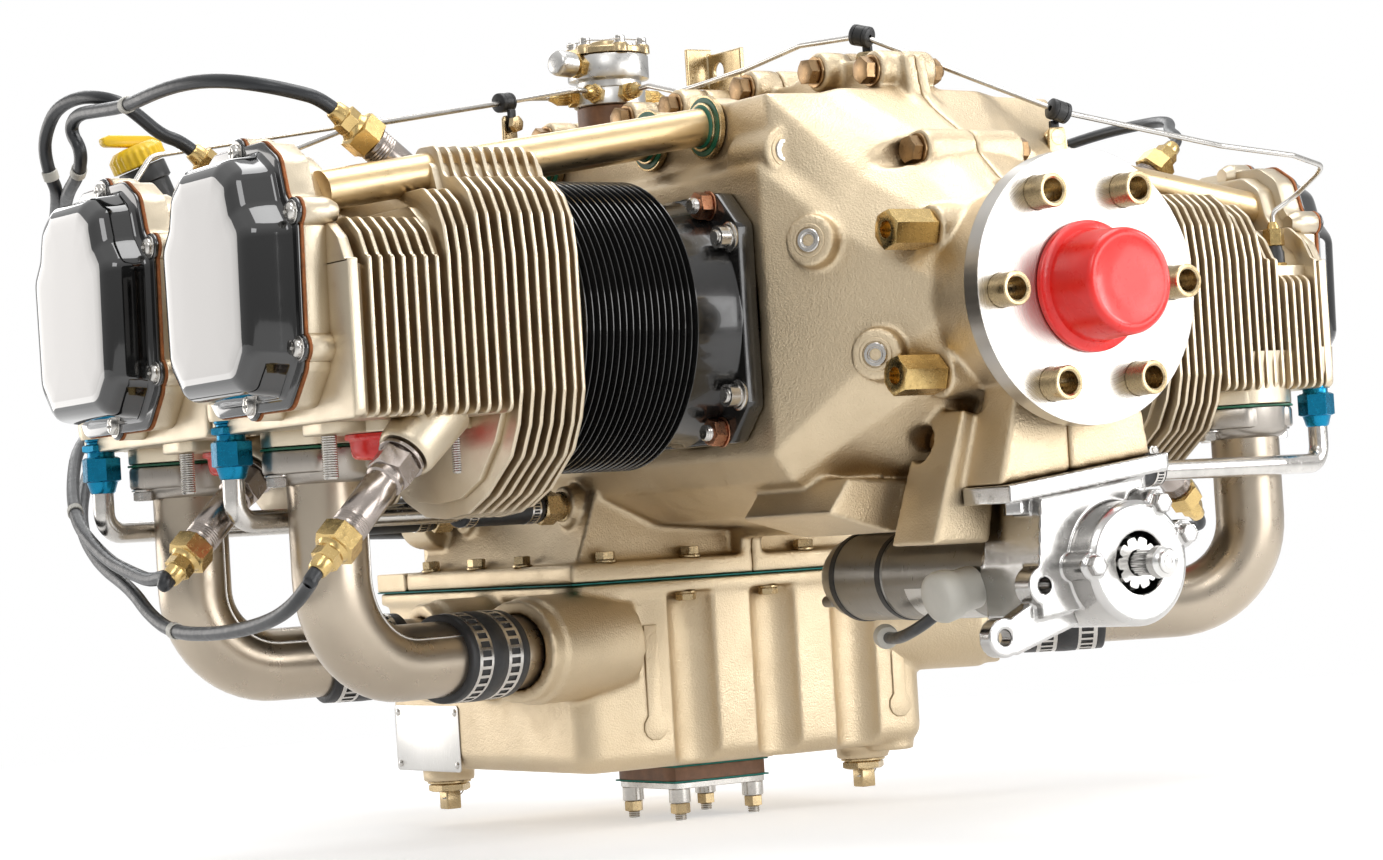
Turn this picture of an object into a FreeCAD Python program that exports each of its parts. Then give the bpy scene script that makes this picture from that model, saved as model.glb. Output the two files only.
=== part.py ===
import FreeCAD
import Part
import math
import os

# Air-cooled flat-four aircraft engine, built from separate pieces.
# Frame: millimetres. Origin on the crankshaft axis at the front face of the propeller flange.
# +Y runs aft along the crankshaft, +Z is up, +X is the engine's left side.

os.makedirs("parts", exist_ok=True)

V = FreeCAD.Vector
GAP = 0.3
FIT = 0.05

# ---- driving dimensions -------------------------------------------------
BORE_R = 65.1
CRANK_THROW = 55.55
ROD = 171.45
CYL_Y = {1: 228.5, 2: 301.7, 3: 409.7, 4: 482.8}
RIGHT_BANK = (1, 3)

FLANGE_R = 76.2
FLANGE_T = 12.0
BOLT_CIRCLE_R = 60.325
BUSH_R = 9.5
BUSH_HOLE_R = 6.35
BUSH_PROUD = 14.6
JOURNAL_R = 30.0
PIN_R = 27.0
PIN_L = 40.0
SWEEP_R = 83.4
CHAMBER_R = 84.6

DECK = 112.0
CASE_FRONT = 150.0
CASE_REAR = 556.0
CASE_TOP = 131.0
CASE_LOW = -120.0
TUBE_WALL = 103.0
TUBE_Z = 114.0
RAIL_Z = -148.0
RAIL_HALF = 134.0
RAIL_FRONT = 344.0
NOSE_R = 61.0
NOSE_FRONT = 22.0

CAM_Z = 102.0
CRANK_GEAR_R = 22.0
IDLER_R = 18.0
CAM_GEAR_R = 44.0
GEAR_Y = 566.0
GEAR_T = 12.0

FLANGE_OUT = 124.0
BASE_HALF = 72.0
BASE_CHAMFER = 20.0
BARREL_R = 69.0
BARREL_FIN_R = 84.0
BARREL_FINS = 18
BARREL_FIN_START = 160.0
HEAD_IN = 237.0
HEAD_OUT = 381.0
BARREL_OUT = 276.0
ROCKER_BOX_T = 13.0
BOX_OUT = HEAD_OUT + ROCKER_BOX_T
COVER_RISE = 30.0
COVER_OUT = BOX_OUT + COVER_RISE

INTAKE_O = 327.0
INTAKE_S = -57.0
INTAKE_Z = -60.0
INTAKE_SLAB = 15.0
INTAKE_BOLT = 29.6
EXHAUST_O = 325.0
EXHAUST_S = 24.0
EXHAUST_Z = -57.0
EXHAUST_STUD = 40.0
PIPE_R = 22.2

SUMP_BOTTOM = -265.0
SUMP_REAR = 598.0
BOSS_R = 31.0
BOSS_X = 180.0
BOSS_Z = -186.0
BOSS_Y = {1: 338.0, 2: 332.0, 3: 455.0, 4: 447.0}

STARTER_X = 25.0
STARTER_Z = -153.0
STARTER_R = 35.0
MOTOR_X = -2.0
MOTOR_Z = -154.0
MOTOR_R = 26.0
PAD_SLOPE = 0.12

DIST_Y = 481.0
DIST_R = 24.0


# ---- helpers ------------------------------------------------------------
def box(x0, x1, y0, y1, z0, z1):
    return Part.makeBox(x1 - x0, y1 - y0, z1 - z0, V(x0, y0, z0))


def rod(start, end, radius):
    a = V(*start)
    b = V(*end)
    d = b.sub(a)
    return Part.makeCylinder(radius, d.Length, a, d)


def ring(start, end, outer, inner):
    return rod(start, end, outer).cut(rod(start, end, inner))


def cone(start, end, r0, r1):
    a = V(*start)
    d = V(*end).sub(a)
    return Part.makeCone(r0, r1, d.Length, a, d)


def across(direction):
    d = V(*direction)
    d.normalize()
    side = d.cross(V(0, 0, 1))
    if side.Length < 0.01:
        side = V(1, 0, 0)
    side.normalize()
    return d, side, side.cross(d)


def ngon(start, end, radius, count, turn=0.0):
    a = V(*start)
    b = V(*end)
    d, u, w = across(tuple(b.sub(a)))
    points = []
    for k in range(count + 1):
        angle = turn + 2 * math.pi * k / count
        points.append(a + u * (radius * math.cos(angle)) + w * (radius * math.sin(angle)))
    return Part.Face(Part.makePolygon(points)).extrude(b.sub(a))


def hexagon(start, end, flats, turn=0.0):
    return ngon(start, end, flats / 2 / math.cos(math.pi / 6), 6, turn)


def plate(points, origin, u, w, depth):
    o = V(*origin)
    ring_points = [o + V(*u) * p[0] + V(*w) * p[1] for p in points]
    ring_points.append(ring_points[0])
    return Part.Face(Part.makePolygon(ring_points)).extrude(V(*depth))


def bent(points, bend, radius):
    pts = [V(*p) for p in points]
    edges = []
    last = pts[0]
    for k in range(1, len(pts) - 1):
        back = pts[k - 1].sub(pts[k])
        ahead = pts[k + 1].sub(pts[k])
        room = min(back.Length, ahead.Length) * 0.48
        back.normalize()
        ahead.normalize()
        half = math.acos(max(-1.0, min(1.0, back.dot(ahead)))) / 2
        reach = min(bend / math.tan(half), room)
        inner = reach * math.tan(half)
        middle = back.add(ahead)
        middle.normalize()
        centre = pts[k] + middle * (inner / math.sin(half))
        p0 = pts[k] + back * reach
        p1 = pts[k] + ahead * reach
        pm = centre - middle * inner
        if last.sub(p0).Length > 0.01:
            edges.append(Part.makeLine(last, p0))
        edges.append(Part.Arc(p0, pm, p1).toShape())
        last = p1
    edges.append(Part.makeLine(last, pts[-1]))
    path = Part.Wire(edges)
    start = pts[1].sub(pts[0])
    hoop = Part.Wire(Part.makeCircle(radius, pts[0], start))
    return path.makePipeShell([hoop], True, False)


def skinned(rings):
    """Solid through rings of equally many points, flat faces between them."""
    count = len(rings[0])
    faces = []
    for a, b in zip(rings, rings[1:]):
        for k in range(count):
            p, q = a[k], a[(k + 1) % count]
            r, s = b[(k + 1) % count], b[k]
            if abs(q.sub(p).cross(r.sub(p)).dot(s.sub(p))) < 1e-7:
                faces.append(Part.Face(Part.makePolygon([p, q, r, s, p])))
            else:
                faces.append(Part.Face(Part.makePolygon([p, q, r, p])))
                faces.append(Part.Face(Part.makePolygon([p, r, s, p])))
    for end in (rings[0], rings[-1]):
        faces.append(Part.Face(Part.makePolygon(end + [end[0]])))
    skin = Part.Shell(faces)
    skin.sewShape()
    solid = Part.Solid(skin)
    if solid.Volume < 0:
        solid.reverse()
    return solid


def tube(points, bend, radius, sides=8, steps=4):
    """Tube with a many-sided section along straight runs and rounded corners."""
    pts = [V(*p) for p in points]
    line = [pts[0]]
    for k in range(1, len(pts) - 1):
        back = pts[k - 1].sub(pts[k])
        ahead = pts[k + 1].sub(pts[k])
        room = min(back.Length, ahead.Length) * 0.48
        back.normalize()
        ahead.normalize()
        half = math.acos(max(-1.0, min(1.0, back.dot(ahead)))) / 2
        reach = min(bend / math.tan(half), room)
        turn_r = reach * math.tan(half)
        middle = back.add(ahead)
        middle.normalize()
        centre = pts[k] + middle * (turn_r / math.sin(half))
        out = (pts[k] + back * reach).sub(centre)
        for j in range(steps + 1):
            t = (math.pi - 2 * half) * j / steps
            line.append(centre + out * math.cos(t) - back * (turn_r * math.sin(t)))
    line.append(pts[-1])
    ways = []
    for k in range(len(line)):
        way = line[min(k + 1, len(line) - 1)].sub(line[max(k - 1, 0)])
        way.normalize()
        ways.append(way)
    side = across(tuple(ways[0]))[1]
    rings = []
    for p, way in zip(line, ways):
        side = side - way * side.dot(way)
        side.normalize()
        other = side.cross(way)
        rings.append([p + side * (radius * math.cos(2 * math.pi * j / sides))
                      + other * (radius * math.sin(2 * math.pi * j / sides)) for j in range(sides)])
    return skinned(rings)


def mirrored(half):
    return half + [(-x, z) for x, z in reversed(half) if abs(x) > 0.001]


def section(half, y):
    points = [V(x, y, z) for x, z in mirrored(half)]
    return Part.makePolygon(points + [points[0]])


def joined(shapes):
    first = shapes[0]
    return first.fuse(shapes[1:]).removeSplitter() if len(shapes) > 1 else first


def placed(shape, n):
    s = shape.copy()
    if n in RIGHT_BANK:
        s.rotate(V(0, 0, 0), V(0, 0, 1), 180)
    s.translate(V(0, CYL_Y[n], 0))
    return s


def at(n, point):
    side = -1 if n in RIGHT_BANK else 1
    return (side * point[0], CYL_Y[n] + side * point[1], point[2])


def group(shapes):
    solids = []
    for shape in shapes:
        solids.extend(shape.Solids)
    return Part.makeCompound(solids)


def save(name, shape):
    shape.exportStep("parts/" + name + ".step")


DRAIN_LEVEL = -100.0
DRAIN_WALL = {1: -149.0, 2: -117.0, 3: -95.0, 4: -120.0}

# ---- crankcase ----------------------------------------------------------
deck_half = [(0, CASE_TOP), (50, CASE_TOP - 1), (62, 127), (TUBE_WALL, 126), (TUBE_WALL, 92), (DECK, 84),
             (DECK, -80), (100, -96), (62, -114), (0, CASE_LOW)]
mid_half = [(0, 101), (28, 98), (50, 88), (70, 72), (80, 52), (86, 40),
            (86, -40), (74, -66), (45, -86), (0, -92)]
nose_half = [(NOSE_R * math.sin(math.radians(a)), NOSE_R * math.cos(math.radians(a)))
             for a in (0, 16, 32, 48, 64, 80, 104, 128, 154, 180)]

MID_Y = 106.0
NOSE_Y = 62.0
body = Part.makeLoft([section(nose_half, NOSE_Y), section(mid_half, MID_Y),
                      section(deck_half, CASE_FRONT)], True, True)
main = Part.Face(section(deck_half, CASE_FRONT)).extrude(V(0, CASE_REAR - CASE_FRONT, 0))
nose = rod((0, NOSE_FRONT, 0), (0, NOSE_Y + 1, 0), NOSE_R - 1)
rail = box(-RAIL_HALF, RAIL_HALF, RAIL_FRONT, CASE_REAR, RAIL_Z, RAIL_Z + 12)
skirt = Part.Face(section([(0, -100), (104, -90), (122, RAIL_Z + 11), (0, RAIL_Z + 11)],
                          RAIL_FRONT + 14)).extrude(V(0, CASE_REAR - RAIL_FRONT - 14, 0))

# raised parting flange round the centre line
RIDGE = 8.0
ridge = plate([(NOSE_FRONT + 4, -66), (NOSE_FRONT + 4, 66), (84, 68), (122, 110), (138, 125), (143, 150),
               (230, 156), (262, 148), (CASE_REAR, 148), (CASE_REAR, -134), (RAIL_FRONT, -134),
               (RAIL_FRONT, -126), (150, -126), (104, -97), (72, -72)],
              (-RIDGE, 0, 0), (0, 1, 0), (0, 0, 1), (2 * RIDGE, 0, 0))

# pushrod tube entries, bolt bosses, threaded bosses and pads
TUBE_S = (19.5, -41.5)
bosses = []
for n in CYL_Y:
    for s in TUBE_S:
        p = at(n, (86, s, TUBE_Z))
        q = at(n, (TUBE_WALL + 1, s, TUBE_Z))
        bosses.append(rod(p, q, 17))
BOLT_X = 20.0
BOLT_SPOTS = [(216, 149, BOLT_X), (160, 142, BOLT_X), (101, 88, 34), (92, -80, 32), (290, 149, BOLT_X),
              (372, 149, BOLT_X), (430, 149, BOLT_X), (532, 149, BOLT_X)]
SPOT_R = 10.5
for y, z, x in BOLT_SPOTS:
    bosses.append(rod((-x, y, z), (x, y, z), 12))
PLUGS = [((-97, 184, 92), (-97, 142, 92), 13.5), ((-72, 134, 36), (-104, 115, 38), 15.0),
         ((-56, 106, -28), (-86, 83, -29), 15.0)]
for a, b, r in PLUGS:
    bosses.append(rod(a, b, r))
    bosses.append(rod((-a[0], a[1], a[2]), (-b[0], b[1], b[2]), r))
STANDOFF_Y = 64.0
STANDOFF_X = 55.0
STANDOFF_Z = (39.0, -42.0)
for z in STANDOFF_Z:
    bosses.append(rod((-20, STANDOFF_Y + 4, z), (-STANDOFF_X, STANDOFF_Y + 4, z), 14))
    bosses.append(rod((20, STANDOFF_Y + 4, z), (STANDOFF_X, STANDOFF_Y + 4, z), 14))

# tapped pads for a belt-driven alternator bracket under the right front
pad_long = plate([(-104, -116), (-62, -128), (-34, -128), (-34, -100), (-88, -96)],
                 (0, 112, 0), (1, 0, 0), (0, 0, 1), (0, 88, 0))
pad_wedge = plate([(-72, -136), (-33, -137), (-20, -70), (-46, -62)],
                  (0, 58, 0), (1, 0, 0), (0, 0, 1), (0, 42, 0))

# inclined starter pad under the left front
PAD_L = -50.0
PAD_R = 58.0
PAD_ZL = -106.0
PAD_Y0 = 24.0
PAD_Y1 = 56.0


def pad_z(x):
    return PAD_ZL + PAD_SLOPE * (x - PAD_L)


starter_pad = plate([(PAD_L, pad_z(PAD_L)), (PAD_R, pad_z(PAD_R)), (PAD_R - 4, -66), (PAD_L + 20, -40)],
                    (0, PAD_Y0, 0), (1, 0, 0), (0, 0, 1), (0, PAD_Y1 - PAD_Y0, 0))

# four rear engine-mount lugs
MOUNT_X = 116.0
MOUNT_ZS = (92.0, -104.0)
MOUNT_HOLE_R = 6.5
MOUNT_FACE = CASE_REAR + 8.0
for sx in (-1, 1):
    for z in MOUNT_ZS:
        lug = rod((sx * MOUNT_X, CASE_REAR - 26, z), (sx * MOUNT_X, MOUNT_FACE, z), 17)
        web = box(min(sx * 80, sx * MOUNT_X), max(sx * 80, sx * MOUNT_X), CASE_REAR - 26, CASE_REAR,
                  z - 14, z + 14)
        bosses.append(lug)
        bosses.append(web)

case = joined([main, body, nose, rail, skirt, ridge, pad_long, pad_wedge, starter_pad] + bosses)

# hollows: crank chamber, bearing bores, cylinder bores, cam tunnel
CENTRE_WEB = (344.5, 367.0)
for n in CYL_Y:
    y = at(n, (0, DRAIN_WALL[n], 0))[1]
    side = -1 if n in RIGHT_BANK else 1
    case = case.fuse(rod((side * 84, y, -100), (side * 118, y, -100), 13))

for y, z, x in BOLT_SPOTS:
    case = case.cut([rod((x, y, z), (x + 70, y, z), SPOT_R), rod((-x, y, z), (-x - 70, y, z), SPOT_R)])
hollow = [rod((0, 186, 0), (0, CENTRE_WEB[0], 0), CHAMBER_R),
          rod((0, CENTRE_WEB[1], 0), (0, 524, 0), CHAMBER_R),
          rod((0, 0, 0), (0, CASE_REAR + 1, 0), JOURNAL_R + FIT),
          rod((0, 150, CAM_Z), (0, CASE_REAR + 1, CAM_Z), 19.0)]
SPIGOT_R = 70.0
for n in CYL_Y:
    hollow.append(rod(at(n, (20, 0, 0)), at(n, (DECK + 40, 0, 0)), SPIGOT_R + GAP))
for sx in (-1, 1):
    for z in MOUNT_ZS:
        hollow.append(rod((sx * MOUNT_X, CASE_REAR - 40, z), (sx * MOUNT_X, CASE_REAR + 40, z),
                          MOUNT_HOLE_R))
for y in (134, 156, 178):
    hollow.append(rod((-50, y, -132), (-50, y, -114), 3.4))
for x in (-60, -42):
    hollow.append(rod((x, 70, -140), (x, 70, -120), 3.4))
hollow.append(box(-92, 92, RAIL_FRONT + 20, CASE_REAR - 24, RAIL_Z - 1, -60))
case = case.cut(hollow)
save("crankcase_right", case.common(box(-400, 0, -50, 800, -400, 400)))
save("crankcase_left", case.common(box(0, 400, -50, 800, -400, 400)))

# ---- accessory housing behind the crankcase ------------------------------
ACC_FRONT = CASE_REAR + GAP
ACC_REAR = 606.0
ACC_HALF = 92.0
acc_half = [(0, 150), (58, 140), (ACC_HALF, 108), (ACC_HALF, RAIL_Z), (0, RAIL_Z)]
accessory = Part.Face(section(acc_half, ACC_FRONT)).extrude(V(0, ACC_REAR - ACC_FRONT, 0))
accessory = accessory.fuse(box(-RAIL_HALF, RAIL_HALF, ACC_FRONT, ACC_REAR - 10, RAIL_Z, RAIL_Z + 12))
MAG_X = 52.0
MAG_Z = 44.0
IDLER_Z = CRANK_GEAR_R + IDLER_R
IDLER_STUB_R = 6.0
gear_back = GEAR_Y + GEAR_T
gear_room = [rod((0, 500, z), (0, gear_back + 4, z), radius)
             for z, radius in ((0, JOURNAL_R + 2), (IDLER_Z, IDLER_R + 4), (CAM_Z, CAM_GEAR_R + 2.5))]
accessory = accessory.cut(gear_room)
accessory = accessory.fuse(rod((0, gear_back + 6, IDLER_Z), (0, GEAR_Y - 2, IDLER_Z), IDLER_STUB_R))
save("accessory_housing", accessory)


# ---- oil sump -------------------------------------------------------------
SUMP_TOP = RAIL_Z - 0.8
SUMP_FRONT = RAIL_FRONT + 2.0
SUMP_HALF = RAIL_HALF - 3.0
tub = box(-SUMP_HALF, SUMP_HALF, SUMP_FRONT, SUMP_REAR, SUMP_BOTTOM, SUMP_TOP - 6)
upright = [e for e in tub.Edges if abs(e.Vertexes[0].Z - e.Vertexes[1].Z) > 50]
tub = tub.makeFillet(16, upright)
lower = [e for e in tub.Edges if max(v.Z for v in e.Vertexes) < SUMP_BOTTOM + 0.1]
tub = tub.makeFillet(12, lower)
lip = box(-RAIL_HALF, RAIL_HALF, RAIL_FRONT, SUMP_REAR + 2, SUMP_TOP - 8, SUMP_TOP)
lip = lip.makeFillet(12, [e for e in lip.Edges if abs(e.Vertexes[0].Z - e.Vertexes[1].Z) > 5])
sump_parts = [tub, lip]


def runner(n):
    side = -1 if n in RIGHT_BANK else 1
    foot = at(n, (INTAKE_O, INTAKE_S, 0))
    dx = side * BOSS_X - foot[0]
    dy = BOSS_Y[n] - foot[1]
    length = math.hypot(dx, dy)
    return foot, (dx / length, dy / length), (side * BOSS_X, BOSS_Y[n])


def along(n, distance, z=BOSS_Z):
    foot, d, end = runner(n)
    return (end[0] + d[0] * distance, end[1] + d[1] * distance, z)


for n in CYL_Y:
    sump_parts.append(rod(along(n, 0), along(n, 84), BOSS_R))
    sump_parts.append(rod(along(n, 12), along(n, 86), BOSS_R + 2))
DRAIN_SPOTS = [(104, 385), (-110, 556)]
for x, y in DRAIN_SPOTS:
    sump_parts.append(rod((x, y, SUMP_BOTTOM + 10), (x, y, SUMP_BOTTOM - 9), 17))
sump_parts.append(rod((112, 366, SUMP_BOTTOM + 10), (112, 366, SUMP_BOTTOM - 4), 16))
INDUCT_Y = 431.0
INDUCT_HALF = 36.0
sump_parts.append(box(-40, 40, INDUCT_Y - 40, INDUCT_Y + 40, SUMP_BOTTOM - 3, SUMP_BOTTOM + 20))
sump = joined(sump_parts)
for x in (-48, 14, 75):
    flute = rod((x, SUMP_FRONT - 6, SUMP_TOP - 8), (x, SUMP_FRONT - 6, SUMP_BOTTOM - 20), 18)
    sump = sump.cut(flute)
for n in CYL_Y:
    sump = sump.cut(rod(along(n, -1), along(n, 30), PIPE_R + GAP))
sump = sump.cut(rod((0, INDUCT_Y, SUMP_BOTTOM - 10), (0, INDUCT_Y, SUMP_BOTTOM + 14), 24))
sump = sump.cut(box(-SUMP_HALF + 26, SUMP_HALF - 26, SUMP_FRONT + 70, SUMP_REAR - 26, -200, SUMP_TOP + 1))
save("oil_sump", sump)

# ---- gaskets ---------------------------------------------------------------
rail_gasket = box(-RAIL_HALF, RAIL_HALF, RAIL_FRONT, ACC_REAR - 10, SUMP_TOP, RAIL_Z).cut(
    box(-RAIL_HALF + 26, RAIL_HALF - 26, RAIL_FRONT + 24, ACC_REAR - 40, SUMP_TOP - 1, RAIL_Z + 1))
PAD_TOP = SUMP_BOTTOM - 3.0


def induct_layer(z0, z1, half):
    return box(-half, half, INDUCT_Y - half, INDUCT_Y + half, z0, z1).cut(
        rod((0, INDUCT_Y, z0 - 1), (0, INDUCT_Y, z1 + 1), 24))


gasket_a = induct_layer(PAD_TOP - 1, PAD_TOP, INDUCT_HALF)
gasket_b = induct_layer(PAD_TOP - 11, PAD_TOP - 10, INDUCT_HALF)
save("case_gaskets", group([rail_gasket, gasket_a, gasket_b]))
spacer = induct_layer(PAD_TOP - 10, PAD_TOP - 1, INDUCT_HALF)
plate_low = induct_layer(PAD_TOP - 15, PAD_TOP - 11, INDUCT_HALF - 0.5)
save("induction_pad", group([spacer, plate_low]))

# ---- crankshaft, bushings, cap ---------------------------------------------
shaft = [rod((0, 0, 0), (0, FLANGE_T, 0), FLANGE_R),
         rod((0, FLANGE_T - 1, 0), (0, 187, 0), JOURNAL_R)]
for a, b in ((188, 208), (322, 343.5), (368, 390), (503, 522)):
    shaft.append(rod((0, a - 2, 0), (0, b, 0), JOURNAL_R))
shaft.append(rod((0, 340, 0), (0, 372, 0), JOURNAL_R))
shaft.append(rod((0, 500, 0), (0, CASE_REAR + 2, 0), JOURNAL_R))
shaft.append(rod((0, CASE_REAR, 0), (0, GEAR_Y + GEAR_T, 0), 14))
shaft.append(ngon((0, GEAR_Y, 0), (0, GEAR_Y + GEAR_T, 0), CRANK_GEAR_R - 0.2, 22))
PIN_SIDE = {1: -1, 2: 1, 3: 1, 4: -1}
for n in CYL_Y:
    x = PIN_SIDE[n] * CRANK_THROW
    shaft.append(rod((x, CYL_Y[n] - PIN_L / 2 - 1, 0), (x, CYL_Y[n] + PIN_L / 2 + 1, 0), PIN_R))


def cheek(y0, y1, x0, x1):
    block = box(min(x0, x1), max(x0, x1), y0, y1, -32, 32)
    return block.common(rod((0, y0, 0), (0, y1, 0), SWEEP_R))


shaft.append(cheek(188, 208, -83, 50))
shaft.append(cheek(249, 281, -83, 83))
shaft.append(cheek(322, 343.5, -50, 83))
shaft.append(cheek(368, 389.5, -50, 83))
shaft.append(cheek(430, 462.5, -83, 83))
shaft.append(cheek(503, 522, -83, 50))
crank = joined(shaft)
CAP_BORE_R = 33.0
crank = crank.cut([rod((0, -1, 0), (0, 170, 0), CAP_BORE_R - 13),
                   rod((0, -1, 0), (0, 8, 0), CAP_BORE_R - 3)])
bushes = []
for k in range(6):
    angle = math.radians(1.3 + 60 * k)
    x = BOLT_CIRCLE_R * math.cos(angle)
    z = BOLT_CIRCLE_R * math.sin(angle)
    crank = crank.cut(rod((x, -1, z), (x, FLANGE_T + 1, z), BUSH_R + FIT))
    bushes.append(ring((x, -BUSH_PROUD, z), (x, FLANGE_T, z), BUSH_R, BUSH_HOLE_R))
save("crankshaft", crank)
save("propeller_bushings", group(bushes))

CAP_R = 30.5
LIP_R = 36.3
CAP_PROUD = 37.0
cap = joined([rod((0, -CAP_PROUD, 0), (0, -CAP_PROUD + 4, 0), CAP_R - 1.5),
              cone((0, -CAP_PROUD + 4, 0), (0, -4, 0), CAP_R - 1.5, CAP_R),
              rod((0, -4, 0), (0, -GAP, 0), LIP_R),
              rod((0, -1, 0), (0, 7, 0), CAP_BORE_R - 3.3)])
cap = cap.cut(rod((0, -CAP_PROUD + 3, 0), (0, 10, 0), 27.5))
save("crankshaft_cap", cap)

# ---- camshaft and idler -----------------------------------------------------
cam = [rod((0, 152, CAM_Z), (0, GEAR_Y + GEAR_T, CAM_Z), 12),
       ngon((0, GEAR_Y, CAM_Z), (0, GEAR_Y + GEAR_T, CAM_Z), CAM_GEAR_R - 0.2, 44)]
for y in (160, 350, 535):
    cam.append(rod((0, y, CAM_Z), (0, y + 14, CAM_Z), 18.9))
for n in CYL_Y:
    for k, s in enumerate(TUBE_S):
        y = at(n, (0, s, 0))[1]
        lobe = rod((0, y - 6, CAM_Z), (0, y + 6, CAM_Z), 14).fuse(
            rod((2.6, y - 6, CAM_Z + (2.6 if k else -2.6)), (2.6, y + 6, CAM_Z + (2.6 if k else -2.6)), 13))
        cam.append(lobe)
save("camshaft", joined(cam))
idler = ngon((0, GEAR_Y, IDLER_Z), (0, gear_back, IDLER_Z), IDLER_R - 0.2, 18)
idler = idler.cut(rod((0, GEAR_Y - 1, IDLER_Z), (0, gear_back + 1, IDLER_Z), IDLER_STUB_R + FIT))
save("idler_gear", idler)

# ---- one cylinder, built outboard along +X, then set four times --------------
base_points = [(-BASE_HALF, -BASE_HALF + BASE_CHAMFER), (-BASE_HALF + BASE_CHAMFER, -BASE_HALF),
               (BASE_HALF - BASE_CHAMFER, -BASE_HALF), (BASE_HALF, -BASE_HALF + BASE_CHAMFER),
               (BASE_HALF, BASE_HALF - BASE_CHAMFER), (BASE_HALF - BASE_CHAMFER, BASE_HALF),
               (-BASE_HALF + BASE_CHAMFER, BASE_HALF), (-BASE_HALF, BASE_HALF - BASE_CHAMFER)]
base = plate(base_points, (DECK, 0, 0), (0, 1, 0), (0, 0, 1), (FLANGE_OUT - DECK, 0, 0))
BARREL_SIDES = 24
pitch = (HEAD_IN - BARREL_FIN_START) / BARREL_FINS
FIN_T = 2.0
barrel_parts = [base, ngon((FLANGE_OUT - 1, 0, 0), (HEAD_IN - GAP, 0, 0), BARREL_R + 1.5, BARREL_SIDES)]
for k in range(BARREL_FINS):
    o = BARREL_FIN_START + pitch * k
    barrel_parts.append(ngon((o, 0, 0), (o + FIN_T, 0, 0), BARREL_FIN_R, BARREL_SIDES))
sleeve = rod((DECK - 14, 0, 0), (DECK + 2, 0, 0), SPIGOT_R).fuse(
    rod((HEAD_IN - 2, 0, 0), (BARREL_OUT, 0, 0), SPIGOT_R))
barrel = joined(barrel_parts + [sleeve])
barrel = barrel.cut(rod((0, 0, 0), (BARREL_OUT + 1, 0, 0), BORE_R + FIT))

# head: finned block with a rounded underside, a notched crest and a rocker box
HEAD_HALF = 90.0


def head_outline(shrink, crown, deep):
    """Fin outline seen along the bore: a crown over the pushrod side, flat or rounded below."""
    h = HEAD_HALF - shrink
    top = CROWN_Z[crown] - shrink
    points = [(h, -40), (h, 34), (h - 3, top - 22), (h - 10, top - 9), (h - 22, top)]
    if crown == "crest":
        points += [(54, top), (48, top + 19), (24, top + 19), (14, NOTCH_Z), (-44, NOTCH_Z), (-56, top)]
    points += [(-h + 22, top), (-h + 10, top - 9), (-h + 3, top - 22), (-h, 34), (-h, -40)]
    if deep:
        points += [(-h + 6, -58 + shrink), (-h + 16, -75 + shrink), (-46, -96 + shrink), (0, -106 + shrink),
                   (46, -96 + shrink), (h - 16, -75 + shrink), (h - 6, -58 + shrink)]
    else:
        points += [(-h, LOW), (h, LOW)]
    return points


CROWN_Z = {"crest": 79.0, "middle": 72.0, "short": 57.0}
NOTCH_Z = 62.0
LOW = -51.0
HEAD_FIN_T = 2.7
HEAD_PITCH = 6.74
FIN_DEPTH = 9.0
FIN_ROWS = [("crest", True, 7), ("crest", False, 3), ("middle", False, 3), ("short", False, 7)]
head_parts = []
o = HEAD_IN + 2.4
for crown, deep, count in FIN_ROWS:
    inner = HEAD_IN if not head_parts else o - 1
    outer = o + HEAD_PITCH * count if crown != "short" else HEAD_OUT
    head_parts.append(plate(head_outline(FIN_DEPTH, crown, deep), (inner, 0, 0), (0, 1, 0), (0, 0, 1),
                            (outer - inner, 0, 0)))
    for k in range(count):
        head_parts.append(plate(head_outline(0, crown, deep), (o, 0, 0), (0, 1, 0), (0, 0, 1),
                                (HEAD_FIN_T, 0, 0)))
        o += HEAD_PITCH
head_parts.append(plate(head_outline(3, "short", False), (o, 0, 0), (0, 1, 0), (0, 0, 1), (HEAD_OUT - o, 0, 0)))
cover_points = [(-60, -20), (-42, -40), (42, -40), (60, -20), (62, 54), (50, 68), (44, 88), (28, 98),
                (-28, 98), (-44, 88), (-50, 68), (-62, 54)]
flange_points = [(s * 1.06, z * 1.04 - 1) for s, z in cover_points]
rocker_box = plate(flange_points, (HEAD_OUT - 2, 0, 0), (0, 1, 0), (0, 0, 1), (BOX_OUT - HEAD_OUT + 2, 0, 0))
intake_port = rod((INTAKE_O, INTAKE_S, -40), (INTAKE_O, INTAKE_S, INTAKE_Z), 31)
intake_flange_points = [(-36, -8), (-18, -26), (18, -26), (36, -8), (36, 8), (18, 26), (-18, 26), (-36, 8)]
intake_ears = plate(intake_flange_points, (INTAKE_O, INTAKE_S, INTAKE_Z),
                    (1, 0, 0), (0, 1, 0), (0, 0, 16))
exhaust_port = rod((EXHAUST_O, EXHAUST_S, -30), (EXHAUST_O, EXHAUST_S, EXHAUST_Z), 32)
exhaust_face = plate([(-50, -18), (50, -18), (50, 18), (-50, 18)], (EXHAUST_O, EXHAUST_S, EXHAUST_Z),
                     (1, 0, 0), (0, 1, 0), (0, 0, 20))
head = joined(head_parts + [rocker_box, intake_port, intake_ears, exhaust_port, exhaust_face])
for e in (-1, 1):
    stud_x = EXHAUST_O + e * EXHAUST_STUD
    head = head.cut(rod((stud_x, EXHAUST_S, EXHAUST_Z), (stud_x, EXHAUST_S, EXHAUST_Z - 50), 9))
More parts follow.
